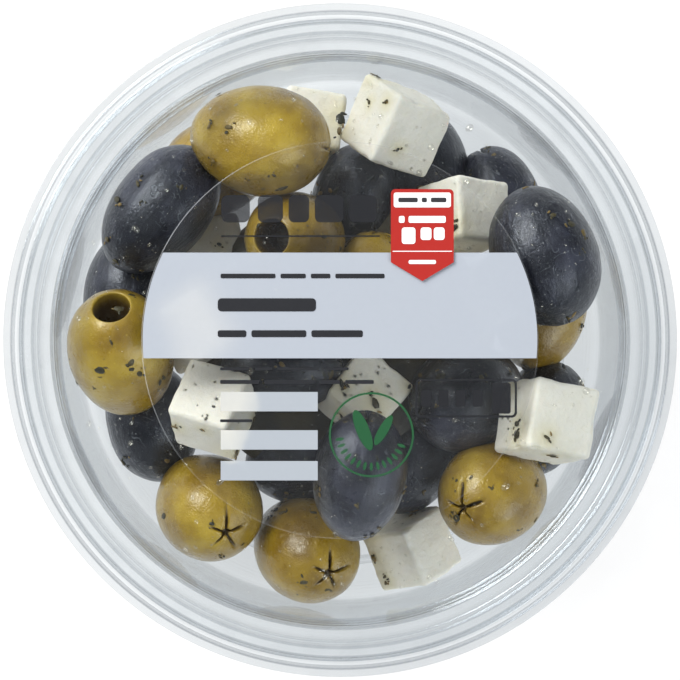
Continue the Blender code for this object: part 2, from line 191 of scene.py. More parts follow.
def measure(name, description, default, most, unit="NONE"):
    """A number of the panel, with its unit."""
    return FloatProperty(name=name, description=description, default=default, min=0, max=most, unit=unit)


class OliveTubLooks(bpy.types.PropertyGroup):
    """The colours of the tub, its label and its contents."""

    plastic: colour("Plastic", "Tint of the clear tub and lid where they turn away", (0.36, 0.395, 0.425))
    band: colour("Band", "The pale band printed across the label", (0.451, 0.487, 0.547))
    bars: colour("Bars", "The white bars under the band", (0.415, 0.450, 0.495))
    badge: colour("Badge", "The red of the sticker", (0.38, 0.020, 0.015))
    ink: colour("Ink", "The dark print", (0.020, 0.021, 0.025))
    green_ink: colour("Green ink", "The green emblem on the label", (0.018, 0.10, 0.038))
    green_skin: colour("Green skin", "The middle colour of the green olives", (0.34, 0.215, 0.016))
    black_skin: colour("Black skin", "The middle colour of the black olives", (0.0050, 0.0048, 0.0095))
    cheese: colour("Cheese", "The body of the cheese cubes", (0.880, 0.85, 0.755))


class OliveTubHeap(bpy.types.PropertyGroup):
    """How much is scattered over the heap, and how fine its pieces are."""

    olive_sides: count("Olive sides", "Points round each olive", 84, 96)
    olive_rings: count("Olive rings", "Rings from end to end of each olive", 46, 96)
    flakes: count("Herb flakes", "Herb flakes tried on each piece", 10, 60)
    drops: count("Oil drops", "Oil drops tried on each piece", 26, 60)
    lid_drops: count("Lid drops", "Small drops that hang under the lid", 150, 600)
    flake_length: measure("Flake length", "Length of the largest herb flake", 2.3 * MM, 4 * MM, "LENGTH")


class OliveTubStage(bpy.types.PropertyGroup):
    """The light and the camera."""

    key_power: measure("Key light", "Power of the soft light at the upper left", 13.0, 100, "POWER")
    fill_power: measure("Fill light", "Power of the weak light at the lower right", 5.5, 100, "POWER")
    sky: measure("Room light", "Strength of the light from all round", 0.50, 4)
    camera_height: measure("Camera height", "Height of the camera over the lid's lip", 0.70, 3, "LENGTH")
    frame_width: measure("Frame width", "Width of the picture at the lip's height", 119.05 * MM, 1, "LENGTH")


class Socket:
    """A value inside a material. Python's operators on it add the Math nodes that work it out."""

    def __init__(self, finish, output):
        self.finish = finish
        self.output = output

    def worked(self, operation, *values):
        return self.finish.node("ShaderNodeMath", {"operation": operation}, dict(enumerate(values)))

    def __add__(self, other):
        return self.worked("ADD", self, other)

    def __sub__(self, other):
        return self.worked("SUBTRACT", self, other)

    def __rsub__(self, other):
        return self.worked("SUBTRACT", other, self)

    def __mul__(self, other):
        return self.worked("MULTIPLY", self, other)

    def __pow__(self, power):
        return self.worked("POWER", self, power)

    __radd__ = __add__
    __rmul__ = __mul__

    def above(self, edge, softness):
        """0 below an edge and 1 above it, with a smooth step of this width between."""
        sockets = {"Value": self, "From Min": edge - softness / 2, "From Max": edge + softness / 2}
        return self.finish.node("ShaderNodeMapRange", {"interpolation_type": "SMOOTHSTEP"}, sockets)


class Finish:
    """A material while its nodes are put together."""

    def __init__(self, name):
        self.material = bpy.data.materials.new(name)
        self.material.use_nodes = True
        self.tree = self.material.node_tree
        self.tree.nodes.clear()

    def node(self, kind, settings=None, sockets=None, out=0):
        """Adds a node, with its settings first and then the values or links of its sockets."""
        made = self.tree.nodes.new(kind)
        for name, value in (settings or {}).items():
            if name != "stops":
                setattr(made, name, value)
                continue
            ramp = made.color_ramp
            while len(ramp.elements) < len(value):
                ramp.elements.new(0.5)
            for element, (position, colour) in zip(ramp.elements, value):
                element.position = position
                element.color = colour
        for name, value in (sockets or {}).items():
            if isinstance(value, Socket):
                self.tree.links.new(value.output, made.inputs[name])
            else:
                made.inputs[name].default_value = value
        return Socket(self, made.outputs[out])

    def mark(self, name, out="Fac"):
        return self.node("ShaderNodeAttribute", {"attribute_name": name}, out=out)

    def place(self):
        return self.node("ShaderNodeTexCoord", out="Object")

    def across(self):
        """The place's x and y."""
        x = self.node("ShaderNodeSeparateXYZ", None, {"Vector": self.place()}, "X")
        return x, Socket(self, x.output.node.outputs["Y"])

    def away(self):
        """The distance from the tub's axis."""
        x, y = self.across()
        return (x * x + y * y) ** 0.5

    def noise(self, where, scale, detail=3.0, roughness=0.55):
        sockets = {"Vector": where, "Scale": scale, "Detail": detail, "Roughness": roughness}
        return self.node("ShaderNodeTexNoise", None, sockets)

    def between(self, value, low, high):
        """1 where a value lies between two others, with soft ends, and 0 elsewhere."""
        width = (high - low) / 2
        return value.above(low, width) - value.above(high, width)

    def cells(self, where, scale):
        """The distance to the nearest of many scattered points, from 0 at a point."""
        return self.node("ShaderNodeTexVoronoi", None, {"Vector": where, "Scale": scale}, "Distance")

    def ramp(self, value, stops):
        return self.node("ShaderNodeValToRGB", {"stops": stops}, {"Fac": value})

    def mix(self, factor, first, second):
        return self.node("ShaderNodeMix", {"data_type": "RGBA"}, {0: factor, 6: first, 7: second}, 2)

    def bump(self, height, distance, strength=1.0):
        sockets = {"Height": height, "Distance": distance, "Strength": strength}
        return self.node("ShaderNodeBump", None, sockets)

    def turned_away(self):
        """0 where the surface faces the eye, up to 1 where it is seen edge on."""
        return self.node("ShaderNodeLayerWeight", None, {"Blend": 0.5}, "Facing")

    def done(self, sockets, shown=None, tint=(1.0, 1.0, 1.0, 1.0)):
        """The material, a Principled shader with these sockets. Clear ones show it in part, over a tint."""
        shader = self.node("ShaderNodeBsdfPrincipled", None, sockets)
        if shown is not None:
            clear = self.node("ShaderNodeBsdfTransparent", None, {"Color": tint})
            shader = self.node("ShaderNodeMixShader", None, {0: shown, 1: clear, 2: shader})
        output = self.tree.nodes.new("ShaderNodeOutputMaterial")
        self.tree.links.new(shader.output, output.inputs["Surface"])
        return self.material


def lattice_noise(points, cell, seed):
    """Smooth noise from -1 to 1.

    Every corner of a lattice of cells this wide has a random value, and a point takes the values of the
    eight corners round it, blended along each axis by 3 t^2 - 2 t^3.
    """
    grid = points / cell
    low = np.floor(grid).astype(np.int64)
    part = grid - low
    blend = part * part * (3 - 2 * part)
    total = np.zeros(points.shape[:-1])
    for corner in np.ndindex(2, 2, 2):
        key = ((low + corner) * (12289, 40961, 65537)).sum(axis=-1) + seed * 7919
        value = np.sin(key * 12.9898) * 43758.5453
        total += (value - np.floor(value)) * np.where(corner, blend, 1 - blend).prod(axis=-1)
    return 2 * total - 1


def closed_surface(grid):
    """The points and faces of a grid of rows that run round, its first and last rows each one point.

    Each point of the grid is x, y, z and then its marks. Rows that go up the outside face outwards.
    """
    rows, columns, width = grid.shape
    points = np.vstack([grid[0, :1], grid[1:-1].reshape(-1, width), grid[-1, :1]])
    here = 1 + np.arange((rows - 2) * columns).reshape(rows - 2, columns)
    beside = np.roll(here, -1, axis=1)
    quads = np.stack([here[:-1], beside[:-1], beside[1:], here[1:]], axis=-1).reshape(-1, 4)
    first = np.stack([np.zeros(columns, int), beside[0], here[0]], axis=-1)
    last = np.stack([here[-1], beside[-1], np.full(columns, len(points) - 1)], axis=-1)
    return points, [quads, first, last]


def turned(profile, sides):
    """A profile of (radius, height) rows carried round Z: a row at angle b lies at (r cos b, r sin b, h).

    Marks that follow the height in a row are carried along.
    """
    profile = np.array(profile, float)
    angles = np.linspace(0, math.tau, sides, endpoint=False)
    across = profile[:, :1, None] * np.stack([np.cos(angles), np.sin(angles)], axis=-1)
    others = np.broadcast_to(profile[:, None, 1:], (len(profile), sides, profile.shape[1] - 1))
    return np.concatenate([across, others], axis=-1)


def with_bends(profile):
    """The rows of a profile, each with a mark from 0 to 1 for how sharply the sheet bends there.

    The mark is a third of a millimetre times the turn between the two steps beside the row, divided by
    the shorter one's length. A long step gets two more rows with no mark, just inside its ends.
    """
    rows = np.array(profile, float)
    steps = np.diff(rows, axis=0)
    angles = np.unwrap(np.arctan2(steps[:, 1], steps[:, 0]))
    lengths = np.linalg.norm(steps, axis=1)
    bend = np.abs(np.diff(angles)) / np.minimum(lengths[1:], lengths[:-1])
    marked = np.column_stack([rows, np.clip(0.33 * MM * np.pad(bend, 1), 0, 1)])
    long = np.flatnonzero(lengths > 4 * BEND_FADE)
    inset = np.column_stack([steps, np.zeros(len(steps))])[long] * (BEND_FADE / lengths[long])[:, None]
    after, before = marked[long] + inset, marked[long + 1] - inset
    after[:, 2] = before[:, 2] = 0.0
    added = np.stack([after, before], axis=1).reshape(-1, 3)
    return np.insert(marked, np.repeat(long + 1, 2), added, axis=0)


def open_surface(grid):
    """As closed_surface, for rows that begin at the axis and end in an open edge."""
    points, (quads, first, last) = closed_surface(np.concatenate([grid, grid[-1:]]))
    return points[:-1], [quads, first]


def flat_plate(outline, bottom, thickness):
    """A closed plate with this outline of (x, y) points, anticlockwise, its middle joined to every side."""
    ring = np.array(outline, float)
    middle = ring.mean(axis=0)
    levels = [bottom, bottom, bottom + thickness, bottom + thickness]
    rows = [np.column_stack([level_ring, np.full(len(ring), level)])
            for level_ring, level in zip([ring * 0 + middle, ring, ring, ring * 0 + middle], levels)]
    return closed_surface(np.stack(rows))


def joined_ring(inner, outer, bottom, thickness):
    """A flat ring between two outlines of as many (x, y) points each."""
    rows = [(inner, bottom), (outer, bottom), (outer, bottom + thickness), (inner, bottom + thickness)]
    grid = np.stack([np.column_stack([line, np.full(len(line), height)]) for line, height in rows])
    here = np.arange(grid[..., 0].size).reshape(grid.shape[:2])
    beside = np.roll(here, -1, axis=1)
    quads = np.stack([here, beside, np.roll(beside, -1, axis=0), np.roll(here, -1, axis=0)], axis=-1)
    return grid.reshape(-1, 3), [quads.reshape(-1, 4)]


def arc(centre, radius, start, end, steps):
    angles = np.linspace(start, end, steps + 1)
    return np.column_stack([centre[0] + radius * np.cos(angles), centre[1] + radius * np.sin(angles)])


def bar(left, bottom, right, top, corner):
    """The outline of a rectangle with its four corners rounded by arcs."""
    right, top, left, bottom = right - corner, top - corner, left + corner, bottom + corner
    quarters = np.arange(5) * math.pi / 2
    return np.vstack([arc(at, corner, start, end, 6) for at, start, end in zip(
        [(right, top), (left, top), (left, bottom), (right, bottom)], quarters, quarters[1:])])


def blocks(rows, level):
    """Ink at a level: rounded rectangles, each its left, lower, right and upper side and corner in mm."""
    return [flat_plate(bar(*np.array(row) * MM), level, INK) for row in rows]


def rounded(corners, steps=8):
    """The outline through corners (radius, height, rounding), each corner drawn as an arc."""
    points = [Vector(corners[0][:2])]
    for before, corner, after in zip(corners, corners[1:], corners[2:]):
        here = Vector(corner[:2])
        arriving = (here - Vector(before[:2])).normalized()
        leaving = (Vector(after[:2]) - here).normalized()
        turn = math.atan2(arriving.cross(leaving), arriving.dot(leaving))
        if corner[2] == 0.0:
            points.append(here)
            continue
        start = here - arriving * corner[2] * math.tan(abs(turn) / 2)
        side = math.copysign(1.0, turn)
        centre = start + Vector((-arriving.y, arriving.x)) * side * corner[2]
        for step in range(steps + 1):
            spoke = (start - centre).copy()
            spoke.rotate(Matrix.Rotation(turn * step / steps, 2))
            points.append(centre + spoke)
    points.append(Vector(corners[-1][:2]))
    return points


def linked(name, data):
    """A new object in the scene."""
    obj = bpy.data.objects.new(name, data)
    bpy.context.scene.collection.objects.link(obj)
    return obj


def put_piece(name, shapes, material, replaced=(), marks=None, flat=False):
    """Joins shapes into one object on the root body.

    Each shape is its points, with their marks, and its faces.
    """
    starts = np.cumsum([0] + [len(points) for points, _ in shapes[:-1]])
    points = np.vstack([points for points, _ in shapes])
    faces = [face for start, (_, groups) in zip(starts, shapes) for group in groups
             for face in (group + start).tolist()]
    mesh = bpy.data.meshes.new(name)
    mesh.from_pydata(points[:, :3].tolist(), [], faces)
    column = 3
    for mark, width in (marks or {}).items():
        kind, field = ("FLOAT", "value") if width == 1 else ("FLOAT_VECTOR", "vector")
        layer = mesh.attributes.new(mark, kind, "POINT")
        layer.data.foreach_set(field, points[:, column:column + width].ravel())
        column += width
    if flat:
        mesh.shade_flat()
    else:
        mesh.shade_smooth()
    mesh.materials.append(material)
    obj = linked(name, mesh)
    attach(obj, "root")
    if replaced:
        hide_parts(*replaced)
    return obj


def print_over_cheese(name, sheets, thickness, material, replaced=()):
    """Print with painted light over cheese.

    Each sheet is its lower and upper side, its top, and a function for its ends at a y. Its point at (u, v)
    lies at (left + (right - left) u, low + (high - low) v), and is marked with how much painted light it
    gets from the lit cheese below, which stands in for the cheese shining up through the print.
    """
    shapes = []
    for low, high, top, ends in sheets:
        y, u = np.meshgrid(np.linspace(low, high, 25), np.linspace(0, 1, 90), indexing="ij")
        left, right = ends(y)
        grid = np.stack([left + (right - left) * u, y, np.full(y.shape, top)], axis=-1)
        here = np.arange(y.size).reshape(y.shape)
        quads = np.stack([here[:-1, :-1], here[:-1, 1:], here[1:, 1:], here[1:, :-1]], axis=-1)
        # Each point's painted light from the lit cheese below.
        points = np.column_stack([grid.reshape(-1, 3), cheese_below(grid).ravel()])
        shapes.append((points, [quads.reshape(-1, 4)]))
    give_wall(put_piece(name, shapes, material, replaced, {"ground": 1}, flat=True), thickness)


def put_print(name, shapes, material, replaced=()):
    """A flat printed piece of the label, with sharp edges."""
    put_piece(name, shapes, material, replaced, flat=True)


def give_wall(obj, thickness):
    """Gives a surface its thickness, behind the side that shows."""
    wall = obj.modifiers.new("wall", "SOLIDIFY")
    wall.thickness = thickness
    wall.offset = -1.0
    wall.use_even_offset = True


def turning(piece):
    """The turn of a piece: its own +Z becomes its long axis."""
    turn, lift, roll = (math.radians(angle) for angle in piece[4:7])
    axis = Matrix.Rotation(turn, 3, "Z") @ Matrix.Rotation(math.pi / 2 - lift, 3, "Y")
    return axis @ Matrix.Rotation(roll, 3, "Z")


def half_sizes(piece):
    """Half the thickness twice, and half the length."""
    return np.array([piece[8], piece[8], piece[7]]) * MM / 2


def balls_in(piece):
    """Balls that stand for a piece while the heap settles, as offsets from its middle and radii.

    An olive holds a row of balls that touch its skin all round: one at c along an axis of half length
    a has the radius b * sqrt(1 - c * c / (a * a - b * b)), where b is half the thickness. A cube holds
    one ball that touches its faces, one in each of its eighths, and small ones along its edges.
    """
    half = half_sizes(piece)
    if piece[0] == "cheese":
        marks = [-1.0, -0.5, 0.0, 0.5, 1.0]
        steps = np.stack(np.meshgrid(marks, marks, marks), axis=-1).reshape(-1, 3)
        edges = steps[(np.abs(steps) == 1.0).sum(axis=1) > 1]
        eighths = steps[(np.abs(steps) == 0.5).all(axis=1)]
        own = np.vstack([np.zeros(3), eighths * half, edges * (half - EDGE_BALL)])
        radii = np.repeat([half.min(), half.min() / 2, EDGE_BALL], [1, len(eighths), len(edges)])
    else:
        spread = half[2] ** 2 - half[0] ** 2
        along = np.array([-1.0, -0.55, 0.0, 0.55, 1.0]) * spread / half[2]
        own = np.outer(along, [0.0, 0.0, 1.0])
        radii = half[0] * np.sqrt(1 - along**2 / spread)
    return own @ np.array(turning(piece)).T, radii


def wall_radius(height):
    """The radius of the tub's inner side at each height: the floor's rounded corner, then the wall."""
    floor = FOOT_RISE + WALL
    return np.interp(height, [floor, floor + BASE_CORNER, MOUTH_HEIGHT],
                     [BASE_RADIUS - BASE_CORNER, BASE_RADIUS - WALL, MOUTH_RADIUS - WALL])


def settled(pieces):
    """The centre of each piece once the heap has settled.

    Every piece sinks a little at each step and is drawn to its own place as seen from above, less and
    less as the heap comes to rest. Balls that overlap push their pieces apart by half the overlap
    each, and a piece moves by the mean of what pushes it. Then the tub's floor and wall and the lid
    push it back inside by all that it sticks out.
    """
    offsets, radii = zip(*map(balls_in, pieces))
    count = len(pieces)
    owner = np.repeat(np.arange(count), [len(found) for found in radii])
    size = np.array([np.hypot(1.4 * half[0], half[2]) for half in map(half_sizes, pieces)])
    offsets, radii = np.vstack(offsets), np.concatenate(radii)
    gaps = np.array([CHEESE_GAP if piece[0] == "cheese" else OLIVE_GAP for piece in pieces])[owner]
    place = np.array([piece[1:4] for piece in pieces]) * MM
    home = place[:, :2].copy()
    hold = np.where(np.arange(count) < FIRST_SHOWING_PIECE, HIDDEN_HOLD, SHOWING_HOLD)[:, None]

    starts = np.flatnonzero(np.diff(owner, prepend=-1))

    def per_piece(owners, values):
        return np.stack([np.bincount(owners, values[:, axis], count) for axis in range(3)], axis=1)

    def furthest(values):
        return np.maximum(np.maximum.reduceat(values, starts), 0.0)

    for step in range(SETTLING_STEPS):
        if step % STEPS_BETWEEN_SORTS == 0:
            between = np.linalg.norm(place[:, None] - place[None, :], axis=-1)
            near = np.triu(between < size[:, None] + size[None, :], 1)
            first, second = np.nonzero(near[owner[:, None], owner[None, :]])
            touching = (radii + gaps)[first] + (radii + gaps)[second]
        unrest = max(0.0, 1 - step / RESTING_STEP)
        place[:, 2] -= SINKING * unrest
        place[:, :2] += (home - place[:, :2]) * hold * max(unrest, LAST_HOLD)
        balls = place[owner] + offsets
        apart = balls[first] - balls[second]
        distance = np.sqrt((apart**2).sum(axis=1)) + 1e-9
        hit = distance < touching
        a, b = owner[first[hit]], owner[second[hit]]
        shift = apart[hit] * ((touching - distance) / distance / 2)[hit][:, None]
        push = per_piece(a, shift) - per_piece(b, shift)
        contacts = np.bincount(a, minlength=count) + np.bincount(b, minlength=count)
        place += push / np.maximum(contacts, 1.0)[:, None] * EAGERNESS
        balls = place[owner] + offsets
        out = np.hypot(balls[:, 0], balls[:, 1])
        past_wall = furthest(out + radii + WALL_GAP - wall_radius(balls[:, 2]))
        place[:, :2] -= place[:, :2] * (past_wall / (np.hypot(place[:, 0], place[:, 1]) + 1e-9))[:, None]
        place[:, 2] += furthest(FOOT_RISE + WALL + WALL_GAP - balls[:, 2] + radii)
        place[:, 2] -= furthest(balls[:, 2] + radii + WALL_GAP - PANEL_HEIGHT + WALL)
    return place


CENTRES = settled(PIECES)


def olive_rows(piece, rings):
    """The (radius, height) rows of an olive, from its lower end up.

    At angle a from the upper end the skin lies at (r sin a (1 + 0.05 cos a), h cos a), with half the
    thickness r and half the length h, so it is an egg that is thickest a little above its middle. A
    pitted one turns in round a small lip and runs down its hole to a point.
    """
    radius, _, half_length = half_sizes(piece)
    pitted = piece[0] == "pitted"
    first = math.asin((PIT_HOLE_RADIUS + PIT_LIP) / radius) if pitted else 0.0
    angles = first + (math.pi - first) * np.linspace(1, 0, rings + 1) ** 1.25
    sin, cos = np.sin(angles), np.cos(angles)
    rows = np.column_stack([radius * sin * (1 + 0.05 * cos), half_length * cos])
    rows[0] = (0.0, -half_length)
    if not pitted:
        rows[-1] = (0.0, half_length)
        return rows
    lip = np.linspace(0.25, 1.0, 5) * math.pi / 2
    edge = rows[-1, 1]
    turn_in = np.column_stack([
        PIT_HOLE_RADIUS + PIT_LIP * (1 - np.sin(lip)), edge + 0.35 * MM * np.sin(2 * lip)])
    depths = np.linspace(0.12, 1.0, 8)
    inside = np.column_stack([PIT_HOLE_RADIUS * (1 - 0.2 * depths), edge - PIT_HOLE_DEPTH * depths])
    return np.vstack([rows, turn_in, inside, [(0.0, edge - PIT_HOLE_DEPTH - 0.2 * MM)]])


def olive(piece, centre, index, heap):
    """One olive, as a surface of its rows and the angle b round them.

    Smooth noise moves its skin in and out by up to 0.3 mm. Where the stone was pushed out, the
    upper end sinks by 1.5 mm * exp(-(d / s)^4), where d is the distance from the axis and the reach
    is s = 3.4 mm (0.22 + l cos(2.5 b + c)^14), with a random length l for each of the five arms of the
    star. Its marks are the place on the olive in millimetres, how deep it lies in a cut or a hole, and a
    random tone.
    """
    draw = random.Random(index)
    rows = olive_rows(piece, heap.olive_rings)
    grid = turned(rows, heap.olive_sides)
    pitted = piece[0] == "pitted"
    upper = grid[..., 2] > 0
    b = np.arctan2(grid[..., 1], grid[..., 0])
    shift = draw.uniform(0, 3)
    arm_lengths = np.array([draw.uniform(0.5, 0.95) for _ in range(6)])
    arms = np.cos(2.5 * b + shift) ** 14 * arm_lengths[np.round((2.5 * b + shift) / math.pi).astype(int) % 5]
    away = np.hypot(grid[..., 0], grid[..., 1])
    reach = STAR_REACH * (0.22 + arms) * (1 + 0.25 * lattice_noise(grid, 2.0 * MM, index))
    star = np.exp(-(away / reach) ** 4) * upper * (not pitted)
    hole = np.zeros(grid.shape[:2])
    if pitted:
        hole[-10:] = np.linspace(0.25, 1.0, 10)[:, None]
    outwards = grid / (np.linalg.norm(grid, axis=-1, keepdims=True) + 1e-9)
    dents = 0.22 * lattice_noise(grid, 7.0 * MM, index) + 0.09 * lattice_noise(grid, 2.6 * MM, index + 50)
    shaped = grid + outwards * (dents * MM * (1 - hole))[..., None]
    shaped[..., 2] -= STAR_DEPTH * star
    shaped[[0, -1]] = shaped[[0, -1]].mean(axis=1, keepdims=True)
    placed = shaped @ np.array(turning(piece)).T + centre
    own = grid / MM + 40.0 * index
    tone = np.full(grid.shape[:2] + (1,), draw.random())
    return closed_surface(np.concatenate([placed, own, np.maximum(star, hole)[..., None], tone], axis=-1))


def cube_lattice(steps):
    """The points on a cube from -1 to 1, closer together towards its edges, and its six sides' squares."""
    line = np.arange(steps + 1)
    u, v = (axis.ravel() for axis in np.meshgrid(line, line, indexing="ij"))
    cell = (np.arange(steps)[:, None] * (steps + 1) + np.arange(steps)).ravel()
    square = np.stack([cell, cell + steps + 1, cell + steps + 2, cell + 1], axis=-1)
    sides, faces = [], []
    for axis in range(3):
        for level in (0, steps):
            side = np.empty((len(u), 3), int)
            side[:, axis] = level
            side[:, (axis + 1) % 3] = u
            side[:, (axis + 2) % 3] = v
            faces.append((square if level else square[:, ::-1]) + len(sides) * len(u))
            sides.append(side)
    lattice, index = np.unique(np.vstack(sides), axis=0, return_inverse=True)
    q = 2.0 * lattice / steps - 1
    return np.sign(q) * (1 - (1 - np.abs(q)) ** 1.5), index.reshape(-1)[np.vstack(faces)]


def cheese_cube(piece, centre, index, flakes):
    """One cube of cheese, cut a little unevenly.

    A point q of the cube's lattice lies at q times half the sides, less what the eight corners are
    short, blended along each axis. Within 1 mm of an edge it is pulled onto a ball of that radius.
    Noise then makes dents of up to 0.25 mm, deeper along the edges, where crumbs have come off. Its marks
    are the place on the cube in millimetres, and how near it is to a herb flake, where the oil gathers.
    """
    cut = random.Random(index)
    q, faces = cube_lattice(CUBE_STEPS)
    half = half_sizes(piece)
    soft = 1.0 * MM
    core = np.clip(q * half, soft - half, half - soft)
    reach = q * half - core
    outwards = reach / np.linalg.norm(reach, axis=1, keepdims=True)
    shaped = core + outwards * soft
    for corner in np.ndindex(2, 2, 2):
        sign = np.array(corner) * 2 - 1
        short = np.array([cut.uniform(-CUBE_UNEVENNESS, 0.0) for _ in range(3)])
        shaped += ((1 + q * sign) / 2).prod(axis=1)[:, None] * sign * short
    edge = np.sort(np.abs(q), axis=1)[:, 1] ** 6
    rough = lattice_noise(shaped, 3.0 * MM, index) * 0.13 + lattice_noise(shaped, 1.1 * MM, index + 9) * 0.07
    chips = np.clip(lattice_noise(shaped, 2.2 * MM, index + 31) - 0.25, 0, 1) * edge
    shaped += outwards * ((rough - 0.06 - 0.9 * chips) * MM)[:, None]
    placed = shaped @ np.array(turning(piece)).T + centre
    oil = np.zeros((len(placed), 1))
    if len(flakes):
        apart = np.linalg.norm(placed[:, None] - flakes[None, :, :3], axis=-1)
        oil[:, 0] = np.exp(-(apart / (1.3 * flakes[None, :, 3] + 0.3 * MM)) ** 2).max(axis=1)
    return np.hstack([placed, shaped / MM + 40.0 * index, oil]), [faces]


def depth_in(points, index):
    """How deep points lie in a piece: over 0 inside an olive's egg or a cube, and under 0 outside."""
    piece = PIECES[index]
    own = (points - CENTRES[index]) @ np.array(turning(piece))
    if piece[0] == "cheese":
        return (1 - np.abs(own / half_sizes(piece)).max(axis=-1)) * half_sizes(piece)[0]
    return (1 - np.linalg.norm(own / half_sizes(piece), axis=-1)) * half_sizes(piece)[0]


def cheese_below(grid):
    """How much painted light each of a sheet's points gets from the cheese below, from 0 to 1: paleness that
    stands in for lit white cheese shining up through the print.

    It is 1 right under the lid and falls to 0 over the depth of PALE_DEPTH, and 0 over an olive. It is
    painted left of the axis alone. The light spreads on its way up, so each point is blended with its
    neighbours (1 2 1 / 4) along both ways.
    """
    cheese = np.zeros(grid.shape[:2])
    unmet = np.ones(grid.shape[:2], bool)
    for depth in np.linspace(0, PALE_DEPTH, 24):
        at = grid * (1, 1, 0) + (0, 0, PANEL_HEIGHT - depth)
        for index, piece in enumerate(PIECES):
            met = unmet & (depth_in(at, index) > 0)
            cheese[met] = (piece[0] == "cheese") * (1 - depth / PALE_DEPTH)
            unmet &= ~met
    cheese *= grid[..., 0] < 0
    for _ in range(PALE_BLENDS):
        for axis in 0, 1:
            ends = [(1, 1) if axis == way else (0, 0) for way in (0, 1)]
            wide = np.moveaxis(np.pad(cheese, ends, mode="edge"), axis, 0)
            cheese = np.moveaxis((wide[:-2] + 2 * wide[1:-1] + wide[2:]) / 4, 0, axis)
    return cheese


def clear_of_others(spots, index):
    """The spots of a piece that lie clear of its neighbours."""
    kept = np.ones(len(spots), bool)
    for other in range(len(PIECES)):
        if other != index:
            kept &= depth_in(spots[:, :3], other) < -0.2 * MM
    return spots[kept]


def spots_on(index, tries, largest, seed, crumbs=0):
    """Places scattered on the upper side of a piece and clear of its neighbours: x, y, z, size, normal.

    On an olive of half sizes h a random direction d gives the place h d and the normal d / h. On a
    cube one comes from a side that looks up. Sizes fall off as the square of a random draw. Crumbs
    are smaller spots close beside each one, sunk a little because the skin curves away. Flakes, which
    have crumbs, are fewer and larger on cheese.
    """
    draw = np.random.default_rng(seed * 1009 + index)
    piece = PIECES[index]
    if crumbs and piece[0] == "cheese":
        tries, largest = tries // 2, largest * CHEESE_FLAKES
    half = half_sizes(piece)
    turn = np.array(turning(piece))
    directions = draw.normal(size=(tries * 3, 3))
    if piece[0] == "cheese":
        places = draw.uniform(-0.88, 0.88, (tries * 3, 3))
        side = np.abs(directions).argmax(axis=1)
        normals = np.zeros_like(places)
        normals[np.arange(len(side)), side] = np.sign(directions[np.arange(len(side)), side])
        places = np.where(normals != 0, normals, places) * (half - 0.12 * MM)
    else:
        directions /= np.linalg.norm(directions, axis=1, keepdims=True)
        places = directions * half
        normals = directions / half
        normals /= np.linalg.norm(normals, axis=1, keepdims=True)
    places = places @ turn.T + CENTRES[index]
    normals = normals @ turn.T
    sizes = largest * (0.40 + 0.60 * draw.random(len(places)) ** 2)
    spots = np.column_stack([places, sizes, normals])[normals[:, 2] > 0.15]
    spots = clear_of_others(spots, index)[:tries]
    near = np.repeat(spots, crumbs, axis=0)
    aside = near[:, 3] * draw.uniform(0.35, 0.8, len(near))
    near[:, :3] += lying_on(near[:, 4:7], draw.uniform(0, math.tau, len(near)))[0] * aside[:, None]
    near[:, :3] -= near[:, 4:7] * (aside**2 / (24 * MM))[:, None]
    near[:, 3] *= draw.uniform(0.3, 0.65, len(near))
    near = near[depth_in(near[:, :3] - near[:, 4:7] * 0.4 * MM, index) > 0]
    return np.vstack([spots, clear_of_others(near, index)])


def lying_on(normals, turns):
    """Two directions across each normal, turned round it by the angles given."""
    aside = np.cross(normals, np.array([0.31, 0.17, 0.93]))
    aside /= np.linalg.norm(aside, axis=1, keepdims=True)
    ahead = np.cross(normals, aside)
    cos, sin = np.cos(turns)[:, None], np.sin(turns)[:, None]
    return aside * cos + ahead * sin, ahead * cos - aside * sin


def herb_flake(spot, along, across, draw):
    """A torn leaf flake: an uneven oval at two levels 0.14 mm apart, lifted by 0.12 x^2 towards its tips."""
    sides = 9
    b = np.arange(sides) * math.tau / sides
    reach = spot[3] / 2 * (0.72 + 0.28 * draw.random(sides))
    x, y = reach * np.cos(b), reach * np.sin(b) * draw.uniform(0.35, 0.75)
    lift = 0.12 * (x / MM) ** 2 * MM * draw.uniform(0.2, 1.0)
    levels = np.array([-0.05, -0.02, 0.12, 0.15]) * MM
    spread = np.array([0.0, 1.0, 0.92, 0.0])
    flat = spread[:, None, None] * (x[:, None] * along + y[:, None] * across)
    height = levels[:, None] + spread[:, None] ** 2 * lift
    grid = spot[:3] + flat + height[..., None] * spot[4:7]
    tone = np.full(grid.shape[:2] + (1,), draw.random())
    return closed_surface(np.concatenate([grid, tone], axis=-1))


def oil_drop(spot, along, across, draw):
    """A drop that has spread: its radius is s cos a and its height 0.45 s sin a over the skin."""
    a = np.array([-0.25, 0.0, 0.35, 0.7, 1.1, math.pi / 2])
    b = np.arange(12) * math.tau / 12
    size = spot[3] / 2
    stretch = draw.uniform(0.75, 1.3)
    spread = size * np.cos(a)
    spread[0] = 0.0
    height = size * 0.45 * np.sin(a)
    ring = np.cos(b)[:, None] * along * stretch + np.sin(b)[:, None] * across / stretch
    return closed_surface(spot[:3] + spread[:, None, None] * ring + height[:, None, None] * spot[4:7])


